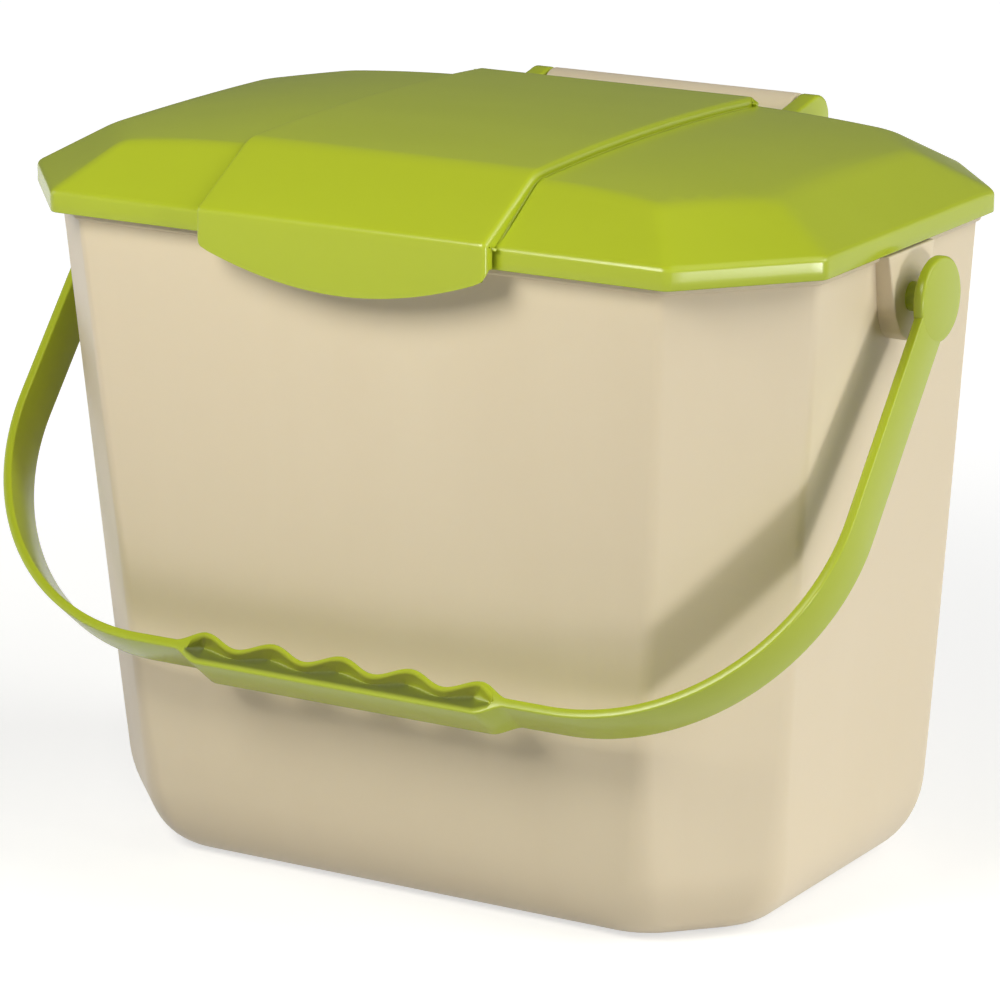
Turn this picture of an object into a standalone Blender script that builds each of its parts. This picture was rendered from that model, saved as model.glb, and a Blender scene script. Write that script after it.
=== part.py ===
import math

import bmesh
import bpy
from mathutils import Matrix, Vector

# Kitchen compost pail: a tapered eight-sided tub, a hinged lid with a raised centre band
# and a front lip, and a swinging carrying handle with a finger grip.
# The front of the pail faces -Y, the hinge is at +Y, and the base rests on z = 0.

# Tub, half sizes of its eight-sided plan at the rim and at the base
RIM_HEIGHT = 0.2302
RIM_HALF_WIDTH = 0.1452
RIM_HALF_DEPTH = 0.0932
RIM_FRONT_HALF = 0.1102
RIM_SIDE_FRONT = 0.0547
RIM_BACK_HALF = 0.1114
RIM_SIDE_BACK = 0.0580
BASE_HALF_WIDTH = 0.1264
BASE_FRONT_DEPTH = 0.0770
BASE_FRONT_HALF = 0.0938
BASE_SIDE_FRONT = 0.0430
BASE_BACK_DEPTH = 0.0880
BASE_BACK_HALF = 0.1046
BASE_SIDE_BACK = 0.0640
WALL = 0.0024
FLOOR = 0.0028
FOOT_INSET = 0.0170
FOOT_HEIGHT = 0.0260
CORNER_RADIUS_RIM = 0.0050
CORNER_RADIUS_BASE = 0.0290
CORNER_FADE = 0.0240
BAND_HEIGHT = 0.0082
BAND_PROUD = 0.0015
BAND_CHAMFER = 0.0008

# Lid shell, rim and raised top
LID_SHELL = 0.0022
SKIRT_CLEARANCE = 0.0011
SEAT_CLEARANCE = 0.0003
SKIRT_HEIGHT = 0.0062
LID_RIM_LIFT = 0.0012
LID_FRONT_EXTRA = 0.0052
LID_BACK_EXTRA = 0.0068
LID_FRONT_REACH = 0.0020
LID_SIDE_EXTRA = 0.0053
FRONT_SLOPE_RUN = 0.0185
BACK_SLOPE_RUN = 0.0295
SIDE_SLOPE_RUN_FRONT = 0.0240
SIDE_SLOPE_RUN_BACK = 0.0225
TOP_FRONT_CORNER_IN = 0.0146
TOP_BACK_CORNER_IN = 0.0120
TOP_FRONT_SIDE_IN = 0.0120
TOP_BACK_SIDE_IN = 0.0150
TOP_RISE = 0.0205
CROWN_DROP = 0.0023
CROWN_REACH = 0.0750
SIDE_FALL = 0.0048
SIDE_FALL_REACH = 0.0710
SKIRT_RELIEF_BEHIND = 0.0020
RIB_CLEARANCE = 0.0008
RIB_THICKNESS = 0.0022

# Raised centre band of the lid and its front lip
STRIP_HALF_WIDTH = 0.0550
STRIP_STEP = 0.0028
STRIP_FRONT_STEP = 0.0016
STRIP_LEAN = 0.0025
STRIP_UNDER = 0.0008
STRIP_UNDER_BACK = 0.0100
STRIP_CREASE_IN = 0.0235
STRIP_BACK_IN = 0.0265
STRIP_FOOT_RUN = 0.0100
LIP_STANDOFF = 0.0035
LIP_THICKNESS = 0.0024
LIP_DROP = 0.0198
LIP_END_DROP = 0.0088
LIP_END_CHAMFER = 0.0016

# Hinge at the back
HINGE_BEHIND_LID = 0.0148
HINGE_ABOVE_LID = 0.0068
KNUCKLE_RADIUS = 0.0085
EAR_NECK_RISE = 0.0050
EAR_ROOT_IN = 0.0060
EAR_HEEL_IN = 0.0030
BARREL_RADIUS = 0.0085
BARREL_HALF_LENGTH = 0.0492
EAR_GAP = 0.0007
EAR_THICKNESS = 0.0072
PIN_RADIUS = 0.0030
PIN_LENGTH = 0.0070
PIN_CLEARANCE = 0.0004
BRACKET_PLATE = 0.0030
GUSSET_THICKNESS = 0.0030
GUSSET_DROP = 0.0300
BRACKET_LID_GAP = 0.0016
BRACKET_DROP = 0.0080
BRACKET_BEND = 0.0015
GUSSET_EDGE_IN = 0.0030

# Pivot pads on the tub's sides and the handle
PIVOT_BELOW_RIM = 0.0215
PAD_PROUD = 0.0063
PAD_TOP_BELOW_RIM = 0.0068
PAD_TOP_HALF = 0.0163
PAD_SHOULDER_HALF = 0.0107
PAD_SHOULDER_BELOW = 0.0051
PAD_FOOT_BELOW = 0.0143
STUD_RADIUS = 0.0048
STUD_CLEARANCE = 0.0004
ARM_GAP = 0.0078
STRAP_THICKNESS = 0.0030
STRAP_WIDTH = 0.0170
DISC_RADIUS = 0.0140
DISC_THICKNESS = 0.0042
HANDLE_REACH = 0.1622
HANDLE_CORNER_RADIUS = 0.0800
HANDLE_TILT = math.radians(39.0)

# Finger grip: a wavy inner rail, a straight outer rail and a thin web between them
GRIP_PITCH = 0.0264
GRIP_WAVES = 4
WAVE_HEIGHT = 0.0040
GRIP_INNER_BULGE = 0.0042
GRIP_OUTER_BULGE = 0.0041
GRIP_END_RUN = 0.0110
RAIL_THICKNESS = 0.0024
GRIP_WEB = 0.0020

# Edges that turn by more than this are shaded as sharp
SHARP_EDGE = math.radians(35.0)


def clear_scene():
    for item in list(bpy.data.objects):
        bpy.data.objects.remove(item, do_unlink=True)


def make_collection(name):
    group = bpy.data.collections.new(name)
    bpy.context.scene.collection.children.link(group)
    return group


def make_material(name, colour, roughness, metallic=0.0):
    material = bpy.data.materials.new(name)
    material.use_nodes = True
    shader = material.node_tree.nodes["Principled BSDF"]
    shader.inputs["Base Color"].default_value = (*colour, 1.0)
    shader.inputs["Roughness"].default_value = roughness
    shader.inputs["Metallic"].default_value = metallic
    material.diffuse_color = (*colour, 1.0)
    return material


def add_object(name, mesh, group):
    item = bpy.data.objects.new(name, mesh)
    group.objects.link(item)
    return item


def as_helper(item):
    item.hide_render = True
    item.display_type = "WIRE"
    return item


def boolean(target, tool, operation):
    step = target.modifiers.new(f"{operation.lower()}_{tool.name}", "BOOLEAN")
    step.operation = operation
    step.solver = "EXACT"
    step.object = tool


def mesh_from(bm, name):
    bmesh.ops.recalc_face_normals(bm, faces=bm.faces)
    mesh = bpy.data.meshes.new(name)
    bm.to_mesh(mesh)
    bm.free()
    mesh.set_sharp_from_angle(angle=SHARP_EDGE)
    return mesh


def plate(name, outlines, thickness, frame, group):
    """A flat outline filled and given a thickness, as a welded mesh. Several outlines
    lie in one plate, and an outline inside another is a hole."""
    curve = bpy.data.curves.new(name, "CURVE")
    curve.dimensions = "2D"
    curve.fill_mode = "BOTH"
    curve.extrude = thickness / 2
    for outline in outlines:
        spline = curve.splines.new("POLY")
        spline.points.add(len(outline) - 1)
        for point, (x, y) in zip(spline.points, outline):
            point.co = (x, y, 0, 1)
        spline.use_cyclic_u = True
    guide = add_object(f"{name}_outline", curve, group)
    guide.matrix_world = frame
    bpy.context.view_layer.update()
    evaluated = guide.evaluated_get(bpy.context.evaluated_depsgraph_get())
    mesh = bpy.data.meshes.new_from_object(evaluated)
    bm = bmesh.new()
    bm.from_mesh(mesh)
    bmesh.ops.remove_doubles(bm, verts=bm.verts, dist=1e-6)
    bmesh.ops.recalc_face_normals(bm, faces=bm.faces)
    bm.to_mesh(mesh)
    bm.free()
    mesh.name = name
    item = add_object(name, mesh, group)
    item.matrix_world = guide.matrix_world.copy()
    bpy.data.objects.remove(guide, do_unlink=True)
    return as_helper(item)


def across(x):
    """Frame of a plate drawn in (y, z) whose thickness runs along X, centred at x."""
    return Matrix(((0, 0, 1, x), (1, 0, 0, 0), (0, 1, 0, 0), (0, 0, 0, 1)))


def facing(y):
    """Frame of a plate drawn in (x, z) whose thickness runs along Y, centred at y."""
    return Matrix(((1, 0, 0, 0), (0, 0, -1, y), (0, 1, 0, 0), (0, 0, 0, 1)))


def rod(name, radius, start, end, y, z, group, sides=24, turn=0.0):
    """A straight round bar along X from start to end."""
    bm = bmesh.new()
    bmesh.ops.create_cone(
        bm, cap_ends=True, segments=sides, radius1=radius, radius2=radius, depth=end - start
    )
    for face in bm.faces:
        face.smooth = len(face.verts) == 4
    spin = Matrix.Rotation(turn, 4, "Z")
    lay = Matrix.Rotation(math.pi / 2, 4, "Y")
    place = Matrix.Translation(((start + end) / 2, y, z))
    bmesh.ops.transform(bm, matrix=place @ lay @ spin, verts=bm.verts)
    return as_helper(add_object(name, mesh_from(bm, name), group))


def chamfer_ends(edge_half, depth, width, side, inset):
    """Ends of a corner's slanting edge, on the front or back edge and on the side edge,
    when every edge of the outline is moved in by inset."""
    nx, ny = depth - side, width - edge_half
    length = math.hypot(nx, ny)
    nx, ny = nx / length, ny / length
    level = nx * edge_half + ny * depth - inset
    y = depth - inset
    x = width - inset
    return (level - ny * y) / nx, y, x, (level - nx * x) / ny


def octagon(front, back, width, inset=0.0):
    """Plan corners, anticlockwise from the left end of the front edge, moved in by inset.
    Front and back are each (half length of the edge, depth, side edge's end)."""
    fa, fy, x, fb = chamfer_ends(front[0], front[1], width, front[2], inset)
    ba, by, x, bb = chamfer_ends(back[0], back[1], width, back[2], inset)
    return [(-fa, -fy), (fa, -fy), (x, -fb), (x, bb), (ba, by), (-ba, by), (-x, bb), (-x, -fb)]


def rounded(corners, radius, steps=4):
    """The outline with an arc of the given radius at each corner."""
    points = []
    count = len(corners)
    for i in range(count):
        here = Vector(corners[i])
        back = (Vector(corners[i - 1]) - here).normalized()
        ahead = (Vector(corners[(i + 1) % count]) - here).normalized()
        half = back.angle(ahead) / 2
        centre = here + (back + ahead).normalized() * (radius / math.sin(half))
        first = here + back * (radius / math.tan(half)) - centre
        last = here + ahead * (radius / math.tan(half)) - centre
        sweep = math.atan2(first.x * last.y - first.y * last.x, first.dot(last))
        for k in range(steps + 1):
            turn = Matrix.Rotation(sweep * k / steps, 2)
            points.append(tuple(centre + turn @ first))
    return points


def loft(bm, rings):
    """A closed solid through rings of points that have the same count."""
    loops = [[bm.verts.new(point) for point in ring] for ring in rings]
    count = len(loops[0])
    for low, high in zip(loops, loops[1:]):
        for i in range(count):
            j = (i + 1) % count
            side = bm.faces.new((low[i], low[j], high[j], high[i]))
            side.smooth = True
    bm.faces.new(list(reversed(loops[0])))
    bm.faces.new(loops[-1])


def mix(a, b, t):
    return a + (b - a) * t


def tub_ring(z, inset):
    """The tub's rounded plan at a height, moved in by inset."""
    t = z / RIM_HEIGHT
    front = (
        mix(BASE_FRONT_HALF, RIM_FRONT_HALF, t),
        mix(BASE_FRONT_DEPTH, RIM_HALF_DEPTH, t),
        mix(BASE_SIDE_FRONT, RIM_SIDE_FRONT, t),
    )
    back = (
        mix(BASE_BACK_HALF, RIM_BACK_HALF, t),
        mix(BASE_BACK_DEPTH, RIM_HALF_DEPTH, t),
        mix(BASE_SIDE_BACK, RIM_SIDE_BACK, t),
    )
    corners = octagon(front, back, tub_half_width(z), inset)
    swell = math.exp(-z / CORNER_FADE)
    radius = CORNER_RADIUS_RIM * (2 - t) + (CORNER_RADIUS_BASE - 2 * CORNER_RADIUS_RIM) * swell
    radius = max(radius - inset * 0.5, CORNER_RADIUS_RIM * 0.4)
    return [(x, y, z) for x, y in rounded(corners, radius)]


def tub_half_width(z):
    return mix(BASE_HALF_WIDTH, RIM_HALF_WIDTH, z / RIM_HEIGHT)


def tub_back(z):
    return mix(BASE_BACK_DEPTH, RIM_HALF_DEPTH, z / RIM_HEIGHT)


def foot_rings(floor, inset, steps=6):
    """Rings of the rounded edge between the floor and the wall."""
    rings = []
    for k in range(steps + 1):
        angle = math.pi / 2 * k / steps
        z = floor + (FOOT_HEIGHT - floor) * (1 - math.cos(angle))
        rings.append((z, inset + FOOT_INSET * (1 - math.sin(angle))))
    return rings


def build_tub_shell(name, group):
    bm = bmesh.new()
    band_low = RIM_HEIGHT - BAND_HEIGHT
    profile = foot_rings(0.0, 0.0)
    wall_steps = 5
    for k in range(1, wall_steps):
        profile.append((mix(FOOT_HEIGHT, band_low, k / wall_steps), 0.0))
    profile.append((band_low, 0.0))
    profile.append((band_low + BAND_CHAMFER, -BAND_PROUD))
    profile.append((RIM_HEIGHT - BAND_CHAMFER, -BAND_PROUD))
    profile.append((RIM_HEIGHT, -BAND_PROUD + BAND_CHAMFER))
    loft(bm, [tub_ring(z, inset) for z, inset in profile])
    bmesh.ops.triangulate(bm, faces=bm.faces)
    return add_object(name, mesh_from(bm, name), group)


def build_tub_hollow(name, group):
    bm = bmesh.new()
    profile = foot_rings(FLOOR, WALL)
    top = RIM_HEIGHT + 4 * WALL
    wall_steps = 4
    for k in range(1, wall_steps + 1):
        profile.append((mix(FOOT_HEIGHT, top, k / wall_steps), WALL))
    loft(bm, [tub_ring(z, inset) for z, inset in profile])
    bmesh.ops.triangulate(bm, faces=bm.faces)
    return as_helper(add_object(name, mesh_from(bm, name), group))


# Places that several pieces share
PIVOT_Z = RIM_HEIGHT - PIVOT_BELOW_RIM
PAD_FACE = tub_half_width(PIVOT_Z) + PAD_PROUD
ARM_CENTRE = PAD_FACE + ARM_GAP + STRAP_THICKNESS / 2
LID_OVERHANG = BAND_PROUD + SKIRT_CLEARANCE + LID_SHELL
LID_RIM_Z = RIM_HEIGHT + LID_RIM_LIFT
LID_HALF_WIDTH = RIM_HALF_WIDTH + LID_OVERHANG
LID_HALF_DEPTH = RIM_HALF_DEPTH + LID_OVERHANG
LID_FRONT_DEPTH = LID_HALF_DEPTH + LID_FRONT_REACH
LID_FRONT_HALF = RIM_FRONT_HALF + LID_FRONT_EXTRA
LID_BACK_HALF = RIM_BACK_HALF + LID_BACK_EXTRA
LID_SIDE_HALF = RIM_SIDE_FRONT + LID_SIDE_EXTRA
SKIRT_FOOT = LID_RIM_Z - SKIRT_HEIGHT
HINGE_Y = LID_HALF_DEPTH + HINGE_BEHIND_LID
HINGE_Z = LID_RIM_Z + HINGE_ABOVE_LID
STRIP_CREASE_Y = -(LID_HALF_DEPTH - STRIP_CREASE_IN)
STRIP_BACK_Y = LID_HALF_DEPTH - STRIP_BACK_IN
LIP_FRONT_Y = -(LID_FRONT_DEPTH + LIP_STANDOFF)
EAR_INNER = BARREL_HALF_LENGTH + EAR_GAP


def top_height(x, y):
    """Height of the lid's broad top, crowned from front to back and falling to the sides."""
    out = max(0.0, abs(x) - STRIP_HALF_WIDTH)
    crown = CROWN_DROP * (y / CROWN_REACH) ** 2
    fall = SIDE_FALL * (out / SIDE_FALL_REACH) ** 2
    return LID_RIM_Z + TOP_RISE - crown - fall


def top_corners():
    """Plan corners of the broad top, right half, from the centre band's front to its back."""
    return [
        (STRIP_HALF_WIDTH, STRIP_CREASE_Y),
        (LID_FRONT_HALF - TOP_FRONT_CORNER_IN, -(LID_HALF_DEPTH - FRONT_SLOPE_RUN)),
        (LID_HALF_WIDTH - SIDE_SLOPE_RUN_FRONT, -(LID_SIDE_HALF - TOP_FRONT_SIDE_IN)),
        (LID_HALF_WIDTH - SIDE_SLOPE_RUN_BACK, LID_SIDE_HALF - TOP_BACK_SIDE_IN),
        (LID_BACK_HALF - TOP_BACK_CORNER_IN, LID_HALF_DEPTH - BACK_SLOPE_RUN),
        (STRIP_HALF_WIDTH, STRIP_BACK_Y),
    ]


def lid_solid(name, group, inset, drop, foot, shift=0.0):
    """The lid's faceted dome as a closed solid down to the height foot. Inset moves the rim
    in, drop lowers the whole surface, and shift moves the top's edge in."""
    front_edge = (LID_FRONT_HALF, LID_FRONT_DEPTH, LID_SIDE_HALF)
    back_edge = (LID_BACK_HALF, LID_HALF_DEPTH, LID_SIDE_HALF)
    rim = octagon(front_edge, back_edge, LID_HALF_WIDTH, inset)
    front, back = rim[1], rim[4]
    right_rim = [
        (STRIP_HALF_WIDTH, front[1]),
        front,
        rim[2],
        rim[3],
        back,
        (STRIP_HALF_WIDTH, back[1]),
    ]
    right_top = top_corners()
    shifted = []
    for x, y in right_top:
        reach = math.hypot(x, y)
        shifted.append((x * (1 - shift / reach), y * (1 - shift / reach)))
    shifted[0] = (STRIP_HALF_WIDTH, shifted[0][1])
    shifted[-1] = (STRIP_HALF_WIDTH, shifted[-1][1])
    ring_rim = right_rim + [(-x, y) for x, y in reversed(right_rim)]
    ring_top = shifted + [(-x, y) for x, y in reversed(shifted)]
    rise = inset * TOP_RISE / SIDE_SLOPE_RUN_FRONT if inset else 0.0
    rim_z = LID_RIM_Z + rise - drop
    bm = bmesh.new()
    low = [bm.verts.new((x, y, foot)) for x, y in ring_rim]
    edge = [bm.verts.new((x, y, rim_z)) for x, y in ring_rim]
    crest = [bm.verts.new((x, y, top_height(x, y) - drop)) for x, y in ring_top]
    count = len(low)
    for i in range(count):
        j = (i + 1) % count
        bm.faces.new((low[i], low[j], edge[j], edge[i]))
        bm.faces.new((edge[i], edge[j], crest[j], crest[i]))
    bm.faces.new(list(reversed(low)))
    bm.faces.new(crest)
    for share in (-1.42, -0.49, 0.0, 0.49, 1.42):
        x = share * STRIP_HALF_WIDTH
        geometry = list(bm.verts) + list(bm.edges) + list(bm.faces)
        bmesh.ops.bisect_plane(bm, geom=geometry, plane_co=(x, 0, 0), plane_no=(1, 0, 0))
    for side in (-1, 1):
        geometry = list(bm.verts) + list(bm.edges) + list(bm.faces)
        place = (side * STRIP_HALF_WIDTH, 0, 0)
        bmesh.ops.bisect_plane(bm, geom=geometry, plane_co=place, plane_no=(1, 0, 0))
    for share in (-0.41, -0.20, 0.0, 0.20, 0.41):
        y = share * LID_HALF_DEPTH
        geometry = list(bm.verts) + list(bm.edges) + list(bm.faces)
        bmesh.ops.bisect_plane(bm, geom=geometry, plane_co=(0, y, 0), plane_no=(0, 1, 0))
    on_rim = rim_z + 1e-5
    top_edges = [Vector(p) for p in ring_top]
    for vert in bm.verts:
        if vert.co.z > on_rim and inside(top_edges, vert.co.x, vert.co.y):
            vert.co.z = top_height(vert.co.x, vert.co.y) - drop
    bmesh.ops.triangulate(bm, faces=bm.faces)
    return add_object(name, mesh_from(bm, name), group)


def inside(outline, x, y, slack=2e-5):
    """True where the point is in the convex outline or on its edge."""
    count = len(outline)
    for i in range(count):
        a, b = outline[i], outline[(i + 1) % count]
        edge = b - a
        if edge.length < 1e-9:
            continue
        if edge.x * (y - a.y) - edge.y * (x - a.x) < -slack * edge.length:
            return False
    return True


def band_top(y):
    """Height of the raised centre band's top at its middle."""
    crease = top_height(0.0, STRIP_CREASE_Y) + STRIP_STEP
    if y >= STRIP_CREASE_Y:
        return top_height(0.0, y) + STRIP_STEP
    share = (y - LIP_FRONT_Y) / (STRIP_CREASE_Y - LIP_FRONT_Y)
    return mix(LID_RIM_Z + STRIP_FRONT_STEP, crease, share)


def band_solid(name, group, front_y, back_y, drop, half, under_front, under_back):
    """The raised centre band from front to back. Its sides lean out towards their foot, its
    top is lowered by drop, and its underside runs between two heights."""
    stations = [front_y, STRIP_CREASE_Y]
    for share in (0.14, 0.27, 0.40, 0.50, 0.62, 0.74, 0.87):
        stations.append(mix(STRIP_CREASE_Y, back_y, share))
    stations.append(back_y)
    kink = -LID_FRONT_DEPTH + STRIP_FOOT_RUN
    if front_y < kink:
        stations.insert(1, kink)
    rings = []
    for y in stations:
        top = band_top(y) - drop
        low = under_front if y <= kink else mix(under_front, under_back, (y - kink) / (back_y - kink))
        foot = max(top - STRIP_STEP * 1.1, low + STRIP_UNDER / 4)
        wide = half + STRIP_LEAN
        rings.append(
            [
                (-half, y, top),
                (-wide, y, foot),
                (-wide, y, low),
                (wide, y, low),
                (wide, y, foot),
                (half, y, top),
            ]
        )
    bm = bmesh.new()
    loft(bm, rings)
    bmesh.ops.triangulate(bm, faces=bm.faces)
    return as_helper(add_object(name, mesh_from(bm, name), group))


def build_lid(group, tools, material):
    lid = lid_solid("lid", group, 0.0, 0.0, SKIRT_FOOT)

    # Raised centre band, solid down into the dome
    top_half = STRIP_HALF_WIDTH - STRIP_LEAN * 0.2
    under = (LID_RIM_Z + STRIP_UNDER, LID_RIM_Z + STRIP_UNDER_BACK)
    strip = band_solid(
        "lid_band_tool", tools, LIP_FRONT_Y, STRIP_BACK_Y, 0.0, top_half, *under
    )
    boolean(lid, strip, "UNION")

    # Front lip, a thin curved apron that hangs below the skirt
    lip = []
    end_z = LID_RIM_Z - LIP_END_DROP
    low_z = LID_RIM_Z - LIP_DROP
    flat = 0.92
    lip.append((STRIP_HALF_WIDTH, LID_RIM_Z + STRIP_UNDER * 1.5))
    lip.append((-STRIP_HALF_WIDTH, LID_RIM_Z + STRIP_UNDER * 1.5))
    lip.append((-STRIP_HALF_WIDTH, end_z + LIP_END_CHAMFER))
    steps = 24
    for k in range(steps + 1):
        u = -flat + 2 * flat * k / steps
        bow = (1 - (u / flat) ** 2) ** 0.8
        lip.append((u * STRIP_HALF_WIDTH, mix(end_z - LIP_END_CHAMFER, low_z, bow)))
    lip.append((STRIP_HALF_WIDTH, end_z + LIP_END_CHAMFER))
    lip_y = LIP_FRONT_Y + LIP_THICKNESS / 2
    apron = plate("lid_lip_tool", [lip], LIP_THICKNESS, facing(lip_y), tools)
    boolean(lid, apron, "UNION")

    # Hinge ears
    arc = []
    for k in range(13):
        angle = math.radians(112) - math.radians(182) * k / 12
        y = HINGE_Y + KNUCKLE_RADIUS * math.cos(angle)
        z = HINGE_Z + KNUCKLE_RADIUS * math.sin(angle)
        arc.append((y, z))
    root_y = LID_HALF_DEPTH - BACK_SLOPE_RUN + EAR_ROOT_IN
    neck_y = HINGE_Y - KNUCKLE_RADIUS * 2
    ear = [(root_y, HINGE_Z + EAR_NECK_RISE), (neck_y, HINGE_Z + EAR_NECK_RISE)] + arc
    ear += [(LID_HALF_DEPTH - EAR_HEEL_IN, LID_RIM_Z + STRIP_UNDER), (root_y, HINGE_Z - LID_SHELL / 2)]
    for side in (-1, 1):
        x = side * (EAR_INNER + EAR_THICKNESS / 2)
        lug = plate(f"lid_ear_tool_{side}", [ear], EAR_THICKNESS, across(x), tools)
        boolean(lid, lug, "UNION")

    # Hollow underneath, following the dome
    hollow_foot = SKIRT_FOOT - LID_SHELL * 2
    hollow = lid_solid(
        "lid_hollow_tool", tools, LID_SHELL, LID_SHELL * 1.35, hollow_foot, LID_SHELL * 0.5
    )
    boolean(lid, as_helper(hollow), "DIFFERENCE")
    raised_foot = (LID_RIM_Z - LID_SHELL / 2, LID_RIM_Z + STRIP_UNDER_BACK * 0.6)
    raised = band_solid(
        "lid_band_hollow_tool", tools, -LID_FRONT_DEPTH + LID_SHELL, STRIP_BACK_Y - LID_SHELL,
        LID_SHELL * 1.3, top_half - LID_SHELL, *raised_foot,
    )
    boolean(lid, raised, "DIFFERENCE")

    # The skirt is cut away along the back, so that the lid can swing up past the rim
    gap_low = SKIRT_FOOT - LID_SHELL
    gap_high = RIM_HEIGHT + SEAT_CLEARANCE
    start = LID_SIDE_HALF + SKIRT_RELIEF_BEHIND
    wide = LID_HALF_WIDTH + LID_SHELL
    deep = LID_HALF_DEPTH + LID_SHELL
    notch = [(-wide, start), (wide, start), (wide, deep), (-wide, deep)]
    middle = Matrix.Translation((0, 0, (gap_high + gap_low) / 2))
    relief = plate("lid_relief_tool", [notch], gap_high - gap_low, middle, tools)
    boolean(lid, relief, "DIFFERENCE")

    # Locating rib that drops inside the tub's rim
    inner = WALL + RIB_CLEARANCE
    rim_front = (RIM_FRONT_HALF, RIM_HALF_DEPTH, RIM_SIDE_FRONT)
    rim_back = (RIM_BACK_HALF, RIM_HALF_DEPTH, RIM_SIDE_BACK)
    body = (rim_front, rim_back, RIM_HALF_WIDTH)
    rib_out = rounded(octagon(*body, inner), CORNER_RADIUS_RIM, 2)
    rib_in = rounded(octagon(*body, inner + RIB_THICKNESS), CORNER_RADIUS_RIM * 0.6, 2)
    rib_top = LID_RIM_Z + TOP_RISE
    rib = plate(
        "lid_rib_tool",
        [rib_out, rib_in],
        rib_top - SKIRT_FOOT,
        Matrix.Translation((0, 0, (rib_top + SKIRT_FOOT) / 2)),
        tools,
    )
    core = lid_solid("lid_core_tool", tools, 0.0, LID_SHELL / 2, SKIRT_FOOT - LID_SHELL / 2)
    band_core = band_solid(
        "lid_band_core_tool", tools, LIP_FRONT_Y, STRIP_BACK_Y, LID_SHELL / 2,
        top_half - LID_SHELL / 2, *under,
    )
    boolean(as_helper(core), band_core, "UNION")
    boolean(rib, core, "INTERSECT")
    boolean(lid, rib, "UNION")

    # Stub pins that turn in the barrel's ends
    for side in (-1, 1):
        near = side * (EAR_INNER + EAR_THICKNESS * 0.5)
        far = side * (EAR_INNER - PIN_LENGTH)
        pin = rod(
            f"lid_pin_tool_{side}", PIN_RADIUS, min(near, far), max(near, far),
            HINGE_Y, HINGE_Z, tools, 16,
        )
        boolean(lid, pin, "UNION")
    lid.data.materials.append(material)

    # The parent empty sits on the hinge's axis
    hinge = bpy.data.objects.new("lid_hinge", None)
    group.objects.link(hinge)
    hinge.empty_display_size = 0.02
    hinge.location = (0, HINGE_Y, HINGE_Z)
    lid.parent = hinge
    lid.location = (0, -HINGE_Y, -HINGE_Z)
    return lid


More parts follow.
